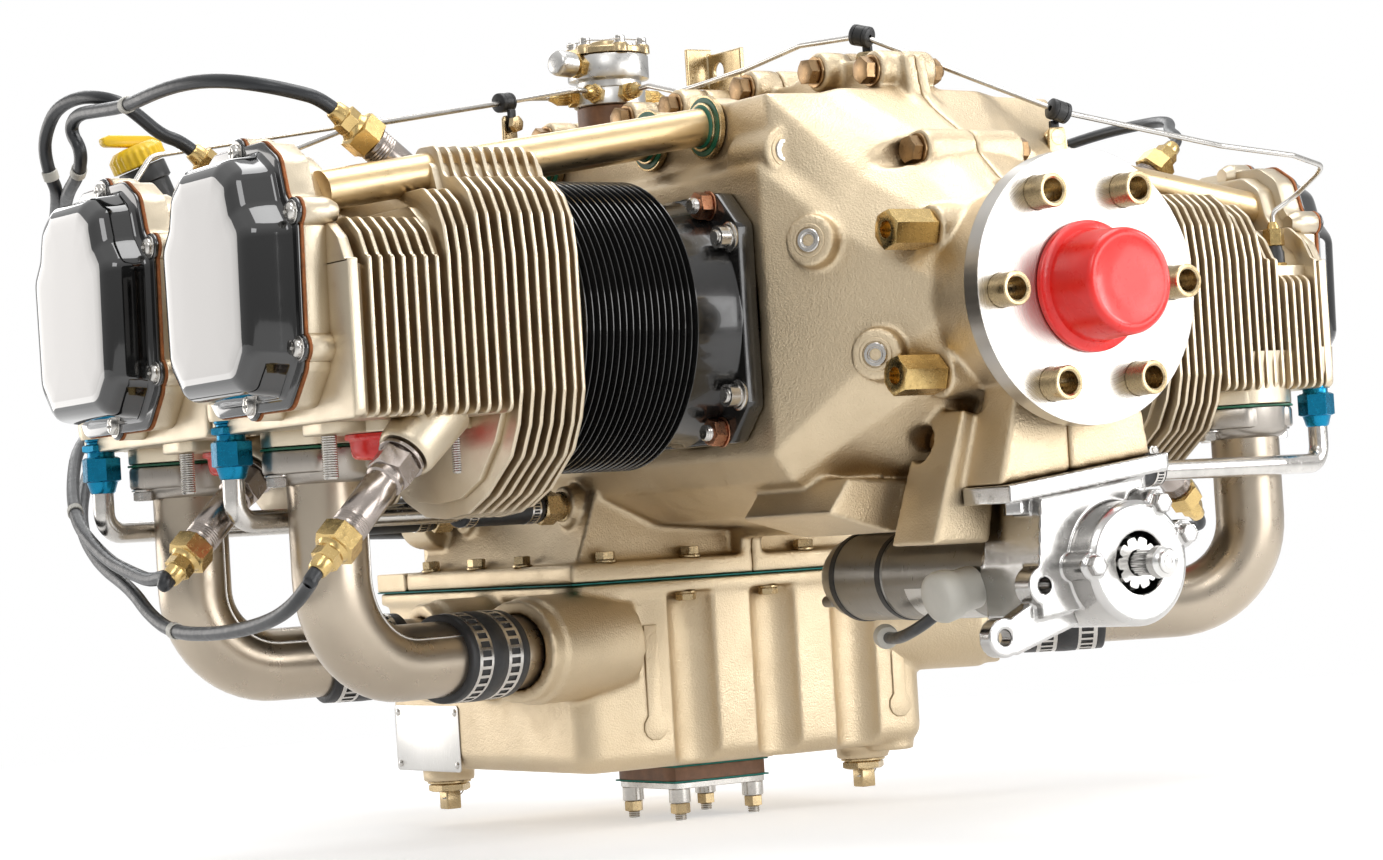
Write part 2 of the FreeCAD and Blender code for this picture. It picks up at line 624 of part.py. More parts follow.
head = head.cut([rod((HEAD_IN - 5, 0, 0), (BARREL_OUT + 0.5, 0, 0), SPIGOT_R + GAP),
                 rod((BARREL_OUT, 0, 0), (BARREL_OUT + 6, 0, 0), BORE_R),
                 rod((EXHAUST_O, EXHAUST_S, EXHAUST_Z - 1), (EXHAUST_O, EXHAUST_S, EXHAUST_Z + 26), 22.0)])

# pushrod tubes run from the case wall to the rocker box, falling outboard
TUBE_R = 11.1
TUBE_END = (366.0, 74.0)


def tube_line(s):
    a = V(TUBE_WALL + 6.0, s, TUBE_Z)
    b = V(TUBE_END[0], s * 0.72, TUBE_END[1])
    return a, b


for s in TUBE_S:
    a, b = tube_line(s)
    head = head.cut(rod(tuple(a), tuple(b), TUBE_R + GAP))

# spark plugs: one above, one below, both leaning inboard to the chamber
PLUG_TOP = ((318, 44, 52), (384, 48, 121))
PLUG_LOW = ((322, 64, -50), (400, 86, -121))
for a, b in (PLUG_TOP, PLUG_LOW):
    head = head.cut(rod(a, b, 13.2))

# pocket for the injector nozzle and a seat for the oil drain-back union
NOZZLE = (352.0, -70.0)
NOZZLE_FOOT = 24.0
DRAIN = (376.0, -74.0)
head = head.cut(box(NOZZLE[0] - 13, NOZZLE[0] + 13, -100, NOZZLE[1] + 16, NOZZLE_FOOT, 120))
head = head.cut(rod((DRAIN[0], DRAIN[1], -36), (DRAIN[0], DRAIN[1], -120), 8))

COVER_T = 2.2
COVER_SEAT = BOX_OUT + 1.9
flange_plate = plate(flange_points, (COVER_SEAT, 0, 0), (0, 1, 0), (0, 0, 1), (COVER_T, 0, 0))


def cover_wire(o, scale, drop):
    pts = [V(o, s * scale, (z - 29) * scale + 29 - drop) for s, z in cover_points]
    return Part.makePolygon(pts + [pts[0]])


cover_dome = Part.makeLoft([cover_wire(COVER_SEAT, 0.9, 0), cover_wire(COVER_OUT - 8, 0.86, 0),
                            cover_wire(COVER_OUT - 2, 0.8, 0), cover_wire(COVER_OUT, 0.72, 0)], True, True)
cover = flange_plate.fuse(cover_dome).removeSplitter()
cover_gasket = plate([(s * 1.05, z * 1.03 - 0.6) for s, z in cover_points], (BOX_OUT, 0, 0), (0, 1, 0),
                     (0, 0, 1), (COVER_SEAT - BOX_OUT, 0, 0))
SCREWS = [(0, 98.5), (0, -39.0), (61.5, 60), (-61.5, 60), (60.5, -12), (-60.5, -12)]
screws = []
for s, z in SCREWS:
    ear = rod((COVER_SEAT, s, z), (COVER_SEAT + COVER_T, s, z), 8)
    cover = cover.fuse(ear)
    head = head.fuse(rod((HEAD_OUT - 6, s, z), (BOX_OUT, s, z), 8))
    cover_gasket = cover_gasket.fuse(rod((BOX_OUT, s, z), (COVER_SEAT, s, z), 7.6))
    screws.append(rod((COVER_SEAT + COVER_T, s, z), (COVER_SEAT + COVER_T + 3.5, s, z), 5.2))
for s in TUBE_S:
    a, b = tube_line(s)
    head = head.cut(rod(tuple(a), tuple(b), TUBE_R + GAP))

piston = rod((-31, 0, 0), (47, 0, 0), BORE_R).cut(rod((-32, 0, 0), (36, 0, 0), BORE_R - 7))
piston = piston.fuse(rod((0, -58, 0), (0, 58, 0), 14))
for o in (40, 34, 28):
    piston = piston.cut(ring((o, 0, 0), (o + 2.4, 0, 0), BORE_R + 1, BORE_R - 3))

BASE_NUTS = [(sa * a, sb * b) for a, b in ((45, 65), (65, 45)) for sa in (-1, 1) for sb in (-1, 1)]

exhaust_foot = (EXHAUST_O, EXHAUST_S, EXHAUST_Z)
exhaust_lip = (EXHAUST_O, EXHAUST_S, EXHAUST_Z - 3)
exhaust_cap = joined([rod(exhaust_foot, exhaust_lip, 27),
                      cone(exhaust_lip, (EXHAUST_O, EXHAUST_S, EXHAUST_Z - 14), 27, 23),
                      rod(exhaust_foot, (EXHAUST_O, EXHAUST_S, EXHAUST_Z + 10), 22.0 - GAP)])
intake_slab = plate(intake_flange_points, (INTAKE_O, INTAKE_S, INTAKE_Z - INTAKE_SLAB),
                    (1, 0, 0), (0, 1, 0), (0, 0, INTAKE_SLAB))
intake_slab = intake_slab.cut(rod((INTAKE_O, INTAKE_S, INTAKE_Z - 20), (INTAKE_O, INTAKE_S, INTAKE_Z + 2),
                                  PIPE_R))
nozzle = joined([rod((NOZZLE[0], NOZZLE[1], NOZZLE_FOOT), (NOZZLE[0], NOZZLE[1], NOZZLE_FOOT + 20), 6.5),
                 hexagon((NOZZLE[0], NOZZLE[1], NOZZLE_FOOT + 20), (NOZZLE[0], NOZZLE[1], NOZZLE_FOOT + 32), 12)])
union = joined([rod((DRAIN[0], DRAIN[1], -36), (DRAIN[0], DRAIN[1], -54), 8),
                hexagon((DRAIN[0], DRAIN[1], -54), (DRAIN[0], DRAIN[1], -76), 21)])

groups = {name: [] for name in ("gaskets", "screws", "tubes", "seals", "pipes", "flanges", "hoses", "clamps",
                                "fasteners", "plugs", "nuts", "caps", "nozzles", "drain_tubes", "drain_fit")}
for n in CYL_Y:
    save("cylinder_barrel_" + str(n), placed(barrel, n))
    save("cylinder_head_" + str(n), placed(head, n))
    save("rocker_cover_" + str(n), placed(cover, n))
    groups["gaskets"].append(placed(cover_gasket, n))
    groups["screws"] += [placed(s, n) for s in screws]
    pin = (CRANK_THROW + ROD) if n in (1, 2) else (ROD - CRANK_THROW)
    crown = piston.copy()
    crown.translate(V(pin, 0, 0))
    save("piston_" + str(n), placed(crown, n))
    for s in TUBE_S:
        a, b = tube_line(s)
        d = b.sub(a)
        d.normalize()
        groups["tubes"].append(placed(rod(tuple(a), tuple(b), TUBE_R), n))
        collar = rod((TUBE_WALL + 1, s, TUBE_Z), (TUBE_WALL + 4.5, s, TUBE_Z), 18.7)
        seal = rod((TUBE_WALL + 4.5, s, TUBE_Z), (TUBE_WALL + 6.6, s, TUBE_Z), 17.5)
        bore = rod(tuple(a - d * 20), tuple(a + d * 40), TUBE_R)
        groups["seals"].append(placed(joined([collar, seal]).cut(bore), n))
    # base nuts
    for s, z in BASE_NUTS:
        groups["fasteners"].append(placed(hexagon((FLANGE_OUT, s, z), (FLANGE_OUT + 9, s, z), 13), n))
        groups["fasteners"].append(placed(rod((FLANGE_OUT + 9, s, z), (FLANGE_OUT + 13, s, z), 4.7), n))
    for e in (-1, 1):
        x = EXHAUST_O + e * EXHAUST_STUD
        stud = rod((x, EXHAUST_S, EXHAUST_Z), (x, EXHAUST_S, EXHAUST_Z - 24), 4.5)
        groups["fasteners"].append(placed(stud, n))
        x = INTAKE_O + e * INTAKE_BOLT
        head_z = INTAKE_Z - INTAKE_SLAB
        groups["fasteners"].append(placed(hexagon((x, INTAKE_S, head_z), (x, INTAKE_S, head_z - 6), 12), n))
    groups["caps"].append(placed(exhaust_cap, n))
    groups["flanges"].append(placed(intake_slab, n))
    # intake runner, hose and clamps
    foot, d, end = runner(n)
    start = (foot[0], foot[1], INTAKE_Z - 0.5)
    corner = (foot[0], foot[1], BOSS_Z)
    groups["pipes"].append(tube([start, corner, along(n, -50)], 78, PIPE_R, 24, 8))
    groups["pipes"].append(rod(along(n, -38), along(n, 26), PIPE_R))
    groups["hoses"].append(ring(along(n, -68), along(n, -16), PIPE_R + 4, PIPE_R + FIT))
    for k in (-56, -30):
        band = ring(along(n, k - 6.5), along(n, k + 6.5), PIPE_R + 5.2, PIPE_R + 4)
        mid = along(n, k)
        side = -1 if n in RIGHT_BANK else 1
        screw = rod((mid[0] + d[1] * side * 32, mid[1] - d[0] * side * 32, mid[2] + 12),
                    (mid[0] + d[1] * side * 32, mid[1] - d[0] * side * 32, mid[2] - 14), 5)
        groups["clamps"].append(band)
        groups["clamps"].append(screw.cut(rod(along(n, k - 12), along(n, k + 12), PIPE_R + 5.2)))
    # spark plugs
    for a, b in (PLUG_TOP, PLUG_LOW):
        av = V(*a)
        bv = V(*b)
        u = bv.sub(av)
        u.normalize()
        length = bv.sub(av).Length

        def on(distance, start=av, way=u):
            return tuple(start + way * distance)

        spark_plug = joined([rod(on(0), on(length - 30), 9), hexagon(on(length - 52), on(length - 40), 22),
                             rod(on(length - 40), on(length - 4), 9.5)])
        groups["plugs"].append(placed(spark_plug, n))
        groups["nuts"].append(placed(hexagon(on(length - 4), on(length + 10), 22), n))
        groups["nuts"].append(placed(hexagon(on(length + 10), on(length + 20), 14), n))
    groups["nozzles"].append(placed(nozzle, n))
    # oil drain-back: union, steel tube, hose and case fitting
    wall = DRAIN_WALL[n]
    top = at(n, (DRAIN[0], DRAIN[1], -77))
    fall = (top[0], top[1], DRAIN_LEVEL)
    side = -1 if n in RIGHT_BANK else 1
    turn = at(n, (INTAKE_O, INTAKE_S - PIPE_R - 8.5, DRAIN_LEVEL))
    inward = V(*at(n, (118, wall, DRAIN_LEVEL))).sub(V(*turn))
    reach = inward.Length
    inward.normalize()

    def drain(distance, start=V(*turn), way=inward):
        return tuple(start + way * distance)

    groups["drain_fit"].append(placed(union, n))
    groups["drain_tubes"].append(tube([(top[0], top[1], -76), fall, turn, drain(reach - 62)], 20, 6.35, 12))
    groups["hoses"].append(ring(drain(reach - 92), drain(reach - 24), 9.5, 6.4))
    fitting = rod(drain(reach - 44), drain(reach + 6), 6.35).fuse(hexagon(drain(reach - 22), drain(reach - 8), 19))
    groups["drain_fit"].append(fitting.cut(case))
    for k in (reach - 86, reach - 32):
        groups["clamps"].append(ring(drain(k - 4), drain(k + 4), 10.6, 9.5))

save("rocker_cover_gaskets", group(groups["gaskets"]))
save("rocker_cover_screws", group(groups["screws"]))
save("pushrod_tubes", group(groups["tubes"]))
save("pushrod_tube_seals", group(groups["seals"]))
save("intake_pipes", group(groups["pipes"]))
save("intake_flanges", group(groups["flanges"]))
save("hose_clamps", group(groups["clamps"]))
save("cylinder_fasteners", group(groups["fasteners"]))
save("exhaust_port_caps", group(groups["caps"]))
save("spark_plugs", group(groups["plugs"]))
save("lead_nuts", group(groups["nuts"]))
save("fuel_nozzles", group(groups["nozzles"]))
save("drain_back_fittings", group(groups["drain_fit"]))

save("drain_back_tubes", group(groups["drain_tubes"]))
save("rubber_hoses", group(groups["hoses"]))

# ---- through-bolts, rail nuts, brass standoffs --------------------------------
BRACKET_Y = 372
BRACKET_T = 3.0
bolts = []
for y, z, x in BOLT_SPOTS:
    bolts.append(rod((-x - 1.5, y, z), (-x, y, z), 9.5))
    bolts.append(hexagon((-x - 8.5, y, z), (-x - 1.5, y, z), 14))
    seat = x + (BRACKET_T if y == BRACKET_Y else 0)
    bolts.append(hexagon((seat, y, z), (seat + 7, y, z), 14))
RAIL_BOLT_Y = RAIL_FRONT + 6.6
for x in (-105, -43, 43, 105):
    bolts.append(hexagon((x, RAIL_BOLT_Y, RAIL_Z + 12), (x, RAIL_BOLT_Y, RAIL_Z + 19), 11))
for y in (412, 470, 530):
    for sx in (-1, 1):
        x = sx * (RAIL_HALF - 5.6)
        bolts.append(hexagon((x, y, RAIL_Z + 12), (x, y, RAIL_Z + 19), 10))
for x in (-48, 14, 75):
    bolts.append(hexagon((x, RAIL_BOLT_Y, SUMP_TOP - 8), (x, RAIL_BOLT_Y, SUMP_TOP - 14), 11))
for z in STANDOFF_Z:
    standoff = hexagon((-STANDOFF_X, STANDOFF_Y + 4, z), (-STANDOFF_X - 30, STANDOFF_Y + 4, z), 20)
    bolts.append(standoff.cut(case))
for a, b, r in PLUGS:
    for sx in (1, -1):
        u = V(b[0] - a[0], b[1] - a[1], b[2] - a[2])
        u.normalize()
        p = V(*b)
        q = p + u * 2.5
        bolts.append(rod((sx * p.x, p.y, p.z), (sx * q.x, q.y, q.z), 6.5).cut(case))
plugs = []
foot = SUMP_BOTTOM - 9
for x, y in DRAIN_SPOTS:
    plugs.append(joined([hexagon((x, y, foot), (x, y, foot - 6), 24),
                         ngon((x, y, foot - 6), (x, y, foot - 19), 11, 4, math.pi / 4)]))
save("drain_plugs", group(plugs))
for sx in (-1, 1):
    for sy in (-1, 1):
        x = sx * (INDUCT_HALF - 8)
        y = INDUCT_Y + sy * (INDUCT_HALF - 8)
        foot = PAD_TOP - 15
        sleeve_nut = [rod((x, y, foot), (x, y, foot - 9), 7), hexagon((x, y, foot - 9), (x, y, foot - 16), 11)]
        bolts.append(joined(sleeve_nut))
save("case_bolts", group(bolts))

# ---- fuel distributor on the crankcase top -------------------------------------
RIDGE_TOP = 148.0
foot = RIDGE_TOP + 16
save("distributor_spacer", rod((0, DIST_Y, RIDGE_TOP), (0, DIST_Y, foot), 22))
valve = [rod((0, DIST_Y, foot), (0, DIST_Y, foot + 12), DIST_R),
         rod((0, DIST_Y, foot + 12), (0, DIST_Y, foot + 17), DIST_R - 2),
         rod((0, DIST_Y, foot + 17), (0, DIST_Y, foot + 34), DIST_R + 3)]
OUTLETS = {1: (-24, 463), 2: (-2, 453), 3: (-26, 486), 4: (26, 481)}
OUT_Z = foot + 7.0
for n, (x, y) in OUTLETS.items():
    d = V(x, y - DIST_Y, 0)
    d.normalize()
    inner = V(0, DIST_Y, OUT_Z) + d * (DIST_R - 6)
    valve.append(hexagon(tuple(inner), tuple(inner + d * 14), 11))
    valve.append(hexagon(tuple(inner + d * 14), tuple(inner + d * 24), 9))
valve.append(rod((-22, DIST_Y - 6, foot + 26), (-38, DIST_Y - 10, foot + 27), 7))
valve.append(rod((-38, DIST_Y - 10, foot + 27), (-52, DIST_Y - 13.5, foot + 28), 8.5))
save("fuel_distributor", joined(valve))
lid = [rod((0, DIST_Y, foot + 34), (0, DIST_Y, foot + 40), DIST_R + 3)]
for k in range(6):
    a = math.radians(20 + 60 * k)
    x = (DIST_R - 1) * math.cos(a)
    y = DIST_Y + (DIST_R - 1) * math.sin(a)
    lid.append(rod((x, y, foot + 39), (x, y, foot + 45), 4.5))
save("distributor_cover", joined(lid))

LINE_R = 1.7
LINE_ROUTES = {
    1: [(-90, 466, 164), (-250, 380, 134), (-345, 300, 104), (-352, 298.5, 92), (-352, 298.5, 56)],
    2: [(0, 398, 163), (0, 320, 166), (0, 259, 172), (4, 200, 169), (84, 118, 114), (250, 164, 101),
        (322, 176, 97), (364, 192, 92), (364, 222, 76), (352, 231.7, 66), (352, 231.7, 56)],
    3: [(-70, 498, 170), (-330, 488, 130), (-352, 479.7, 104), (-352, 479.7, 56)],
    4: [(70, 474, 170), (330, 405, 130), (352, 412.8, 104), (352, 412.8, 56)]}
lines = []
for n, route in LINE_ROUTES.items():
    x, y = OUTLETS[n]
    d = V(x, y - DIST_Y, 0)
    d.normalize()
    first = V(0, DIST_Y, OUT_Z) + d * (DIST_R + 18)
    second = V(0, DIST_Y, OUT_Z) + d * (DIST_R + 30)
    lines.append(tube([tuple(first), tuple(second)] + route, 14, LINE_R, 6))
save("fuel_lines", group(lines))


def clip(point, way, low):
    p = V(*point)
    d = V(*way)
    d.normalize()
    band = ring(tuple(p - d * 5), tuple(p + d * 5), 5.5, LINE_R)
    post = box(p.x - 6, p.x + 6, p.y - 1.2, p.y + 1.2, low, p.z - 4)
    return band.fuse(post).cut(rod(tuple(p - d * 9), tuple(p + d * 9), LINE_R))


clips = [clip((-90, 466, 164), (-80, -24, -9), 126.2), clip((4, 200, 169), (20, -45, -14), 150),
         clip((84, 118, 114), (1, -0.1, -0.3), 80)]
clips = [c.cut([case] + lines) for c in clips]
save("line_clips", group(clips))
bracket = box(BOLT_X, BOLT_X + BRACKET_T, BRACKET_Y - 18, BRACKET_Y + 22, 138, 186)
bracket = bracket.fuse(box(4, BOLT_X + BRACKET_T, BRACKET_Y + 22 - BRACKET_T, BRACKET_Y + 22, 164, 190))
bracket = bracket.cut(rod((BOLT_X - 1, BRACKET_Y + 8, 174), (BOLT_X + 5, BRACKET_Y + 8, 174), 6))
save("lifting_bracket", bracket)

# ---- starter -------------------------------------------------------------------
SX = STARTER_X
SZ = STARTER_Z
slab = plate([(PAD_L - 2, pad_z(PAD_L - 2)), (PAD_R + 4, pad_z(PAD_R + 4)), (PAD_R + 4, pad_z(PAD_R + 4) - 10),
              (PAD_L - 2, pad_z(PAD_L - 2) - 10)], (0, 14, 0), (1, 0, 0), (0, 0, 1), (0, PAD_Y1 - 14, 0))
nose_part = rod((SX, 3, SZ), (SX, 60, SZ), STARTER_R).fuse(cone((SX, 3, SZ), (SX, 0, SZ), STARTER_R, STARTER_R - 3))
neck = plate([(-30, -150), (-26, -112), (46, -103), (54, -140), (50, -170), (-30, -180)],
             (0, 20, 0), (1, 0, 0), (0, 0, 1), (0, 50, 0))
back = rod((MOTOR_X, 40, MOTOR_Z), (MOTOR_X, 74, MOTOR_Z), MOTOR_R + 2)
lug_a = rod((-27, 20, -162), (-27, 34, -162), 11).fuse(box(-27, 0, 20, 34, -173, -151))
lug_arm = plate([(-60, -196), (-46, -178), (-10, -160), (0, -185), (-44, -199)],
                (0, 26, 0), (1, 0, 0), (0, 0, 1), (0, 10, 0))
lug_b = rod((-52, 26, -189), (-52, 36, -189), 11).fuse(lug_arm)
starter = joined([slab, nose_part, neck, back, lug_a, lug_b])
starter = starter.cut([rod((SX, -1, SZ), (SX, 34, SZ), 17.5), rod((SX, 30, SZ), (SX, 46, SZ), 8),
                       rod((-27, 10, -162), (-27, 40, -162), 4.5), rod((-52, 10, -189), (-52, 40, -189), 4.5)])
STARTER_BOLTS = [(-31, 0), (33, 14), (16, 31)]
for x, z in STARTER_BOLTS:
    bx = SX + x * 1.04
    bz = SZ + z * 1.04
    starter = starter.fuse([hexagon((bx, 0.5, bz), (bx, -4, bz), 10), rod((bx, 2, bz), (bx, 30, bz), 8)])
starter = starter.cut(rod((SX, -6, SZ), (SX, 34, SZ), 17.5))
for x in (-30, 52):
    z = pad_z(x) - 10
    starter = starter.fuse(hexagon((x, 36, z + 1), (x, 36, z - 9), 15))
save("starter_housing", starter)
yoke = joined([rod((MOTOR_X, 74, MOTOR_Z), (MOTOR_X, 226, MOTOR_Z), MOTOR_R),
               cone((MOTOR_X, 226, MOTOR_Z), (MOTOR_X, 243, MOTOR_Z), MOTOR_R, MOTOR_R - 8)])
save("starter_motor", yoke)
boot = joined([rod((-22, 84, -160.4), (-50, 84, -166), 12), rod((-46, 84, -165), (-53, 84, -166.5), 15),
               bent([(-48, 84, -166), (-48, 120, -184), (-34, 165, -189), (-24, 178, -187)], 12, 3.5),
               rod((-36, 158, -189), (-28, 172, -188), 7)])
save("starter_terminal", boot.cut([yoke, back]))
spindle = joined([rod((SX, -24, SZ), (SX, 45.5, SZ), 6.5), rod((SX, -24, SZ), (SX, -14, SZ), 9)])
save("starter_shaft", spindle)
PINION_TEETH = 10
pinion = rod((SX, 2, SZ), (SX, 20, SZ), 12)
for k in range(PINION_TEETH):
    a = 2 * math.pi * k / PINION_TEETH
    tooth = plate([(10, -2.8), (16, -1.5), (16, 1.5), (10, 2.8)], (SX, 2, SZ), (math.cos(a), 0, math.sin(a)),
                  (-math.sin(a), 0, math.cos(a)), (0, 18, 0))
    pinion = pinion.fuse(tooth)
pinion = pinion.removeSplitter().cut(rod((SX, 0, SZ), (SX, 24, SZ), 6.5 + FIT))
save("starter_pinion", pinion)

# ---- rear accessories ------------------------------------------------------------
rear = []
MAG_FACE = ACC_REAR + 84
for x in (-MAG_X, MAG_X):
    foot = box(x - 46, x + 46, ACC_REAR, ACC_REAR + 10, MAG_Z - 14, MAG_Z + 14)
    rear.append(joined([foot, rod((x, ACC_REAR, MAG_Z), (x, ACC_REAR + 60, MAG_Z), 38),
                        rod((x, ACC_REAR + 60, MAG_Z), (x, MAG_FACE, MAG_Z), 33)]))
save("magnetos", group(rear))
FILTER_Z = -62.0
filter_can = joined([rod((0, ACC_REAR, FILTER_Z), (0, ACC_REAR + 22, FILTER_Z), 26),
                     rod((0, ACC_REAR + 22, FILTER_Z), (0, ACC_REAR + 106, FILTER_Z), 37),
                     hexagon((0, ACC_REAR + 106, FILTER_Z), (0, ACC_REAR + 116, FILTER_Z), 25)])
save("oil_filter", filter_can)

FILL_FOOT = (-ACC_HALF, 590, -100)
FILL_BEND = (-186, 604, -96)
FILL_TOP = (-277, 620, 140)
FILL_R = 14.0
filler = bent([FILL_FOOT, FILL_BEND, FILL_TOP], 34, FILL_R)
up = V(*FILL_TOP).sub(V(*FILL_BEND))
UP_LEN = up.Length
up.normalize()
DIP_LEN = 205.0
mouth = V(*FILL_TOP)
filler = filler.cut(rod(tuple(mouth - up * (DIP_LEN + 3)), tuple(mouth + up * 5), FILL_R - 2.5))
save("oil_filler_tube", filler.cut(accessory))
fill_cap = joined([rod(tuple(mouth + up * GAP), tuple(mouth + up * 14), 18),
                   plate([(-22, -5), (22, -5), (22, 5), (-22, 5)], tuple(mouth + up * 13), (1, 0, 0), (0, 1, 0), tuple(up * 9)),
                   rod(tuple(mouth - up * DIP_LEN), tuple(mouth + up * 2), 2)])
save("oil_filler_cap", fill_cap)

# ignition leads, each whole from its plug to its magneto
LEAD_R = 4.0


def plug_end(n, ends, distance):
    a = V(*ends[0])
    b = V(*ends[1])
    u = b.sub(a)
    u.normalize()
    return at(n, tuple(b + u * distance))


HUB = {1: -1, 3: -1, 2: 1, 4: 1}
LEADS = [
    (1, PLUG_TOP, [(-412, 205, 146), (-408, 300, 154), (-396, 380, 162), (-384, 500, 156), (-356, 566, 126), (-335, 640, 112),
                   (-170, 700, 100)], (-6, 18)),
    (3, PLUG_TOP, [(-419, 400, 150), (-418, 500, 142), (-392, 575, 112), (-345, 655, 96), (-170, 712, 82)], (-18, 8)),
    (1, PLUG_LOW, [(-420, 172, -152), (-404, 262, -160), (-394, 400, -162), (-388, 470, -142), (-390, 525, -106),
                   (-350, 610, -50), (-170, 700, -10)], (-4, -20)),
    (3, PLUG_LOW, [(-420, 352, -146), (-414, 420, -144), (-404, 480, -126), (-404, 525, -92), (-356, 625, -32),
                   (-170, 712, 10)], (-16, -8)),
    (2, PLUG_TOP, [(412, 374, 146), (406, 440, 152), (388, 530, 146), (350, 610, 116), (170, 700, 100)], (6, 18)),
    (4, PLUG_TOP, [(410, 552, 142), (372, 620, 116), (320, 660, 96), (170, 712, 82)], (18, 8)),
    (2, PLUG_LOW, [(420, 418, -146), (410, 490, -138), (396, 560, -90), (340, 630, -40), (170, 712, 10)], (16, -8)),
    (4, PLUG_LOW, [(424, 594, -138), (380, 640, -100), (300, 670, -50), (170, 700, -10)], (4, -20))]
leads = []
for n, ends, route, (dx, dz) in LEADS:
    hub_x = HUB[n] * MAG_X + dx
    hub_z = MAG_Z + dz
    stop = [(hub_x, MAG_FACE + 34, hub_z), (hub_x, MAG_FACE, hub_z)]
    leads.append(tube([plug_end(n, ends, 20), plug_end(n, ends, 32)] + route + stop, 26, LEAD_R))
save("ignition_leads", group(leads))
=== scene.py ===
import bpy
import bmesh
from math import cos, pi, radians, sin, tan
import random
from mathutils import Matrix, Vector


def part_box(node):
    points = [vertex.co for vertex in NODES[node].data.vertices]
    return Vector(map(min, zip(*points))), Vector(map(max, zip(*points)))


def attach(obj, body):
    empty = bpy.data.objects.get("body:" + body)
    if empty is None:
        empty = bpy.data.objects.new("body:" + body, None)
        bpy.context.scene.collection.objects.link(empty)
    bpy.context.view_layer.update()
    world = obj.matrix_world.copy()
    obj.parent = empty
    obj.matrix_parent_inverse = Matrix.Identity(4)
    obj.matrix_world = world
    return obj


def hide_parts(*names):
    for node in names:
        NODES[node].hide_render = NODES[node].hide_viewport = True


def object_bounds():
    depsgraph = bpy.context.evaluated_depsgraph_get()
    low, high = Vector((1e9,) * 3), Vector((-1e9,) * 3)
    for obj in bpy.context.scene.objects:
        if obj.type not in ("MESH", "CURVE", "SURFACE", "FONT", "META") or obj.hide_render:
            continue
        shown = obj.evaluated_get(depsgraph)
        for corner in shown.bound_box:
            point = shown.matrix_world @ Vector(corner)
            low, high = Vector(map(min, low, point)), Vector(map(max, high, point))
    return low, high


# The CAD assembly dressed for the camera. Pieces are built in millimetres and scaled to metres at the end.
# A cylinder's own pieces are built once in its frame: x outboard along the bore, y along the crankshaft, z up.

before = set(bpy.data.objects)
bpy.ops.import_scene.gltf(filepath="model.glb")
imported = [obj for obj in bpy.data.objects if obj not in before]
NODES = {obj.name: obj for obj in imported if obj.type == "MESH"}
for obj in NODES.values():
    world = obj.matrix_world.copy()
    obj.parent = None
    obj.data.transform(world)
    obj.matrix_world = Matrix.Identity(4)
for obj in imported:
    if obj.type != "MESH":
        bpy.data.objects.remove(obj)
cad_box = [list(v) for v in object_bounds()]
scene = bpy.context.scene
scene.view_settings.view_transform = "Standard"
random.seed(7)
MM = 0.001

# ---- camera, in metres
CAM_AT = (-1.2384, -1.4946, -0.1252)
right = Vector((0.8374, -0.5433, -0.0610)).normalized()
back = Vector((-0.546, -0.837, -0.031))
back = (back - right * back.dot(right)).normalized()
up = back.cross(right)
cam_data = bpy.data.cameras.new("camera")
cam_data.lens = 91.69
cam_data.clip_start = 0.05
cam_data.clip_end = 60
cam = bpy.data.objects.new("camera", cam_data)
scene.collection.objects.link(cam)
rot = Matrix((right, up, back)).transposed().to_4x4()
cam.matrix_world = Matrix.Translation(CAM_AT) @ rot
scene.camera = cam


# ---- materials
def node(nt, kind, **inputs):
    """A shader node; each keyword names an input and holds a number, a tuple or another node's output."""
    n = nt.nodes.new("ShaderNode" + kind)
    for name, value in inputs.items():
        socket = n.inputs[name.replace("_", " ")]
        if isinstance(value, bpy.types.NodeSocket):
            nt.links.new(value, socket)
        else:
            socket.default_value = value
    return n


def new_material(name):
    m = bpy.data.materials.new(name)
    m.use_nodes = True
    nt = m.node_tree
    nt.nodes.clear()
    out = node(nt, "OutputMaterial")
    bsdf = node(nt, "BsdfPrincipled")
    nt.links.new(bsdf.outputs["BSDF"], out.inputs["Surface"])
    return m, nt, bsdf


def noise(nt, scale, detail=4.0, rough=0.55, stretch=None):
    where = node(nt, "TexCoord").outputs["Object"]
    if stretch:
        where = node(nt, "Mapping", Vector=where, Scale=stretch).outputs["Vector"]
    return node(nt, "TexNoise", Vector=where, Scale=scale, Detail=detail, Roughness=rough).outputs["Fac"]


def ranged(nt, source, low, high, first=0.3, last=0.7):
    return node(nt, "MapRange", Value=source, From_Min=first, From_Max=last, To_Min=low,
        To_Max=high).outputs["Result"]


def blend(nt, fac, a, b):
    mix = node(nt, "Mix")
    mix.data_type = "RGBA"
    nt.links.new(fac, mix.inputs[0])
    for socket, value in ((6, a), (7, b)):
        if isinstance(value, tuple):
            mix.inputs[socket].default_value = (*value, 1)
        else:
            nt.links.new(value, mix.inputs[socket])
    return mix.outputs[2]


def relief(nt, height, strength, depth, normal=None):
    """Bump on top of a rounded edge or of another bump."""
    b = node(nt, "Bump", Height=height, Strength=strength, Distance=depth)
    if normal is not None:
        nt.links.new(normal, b.inputs["Normal"])
    return b.outputs["Normal"]


def soft_edges(nt, radius):
    n = node(nt, "Bevel", Radius=radius)
    n.samples = 4
    return n.outputs["Normal"]


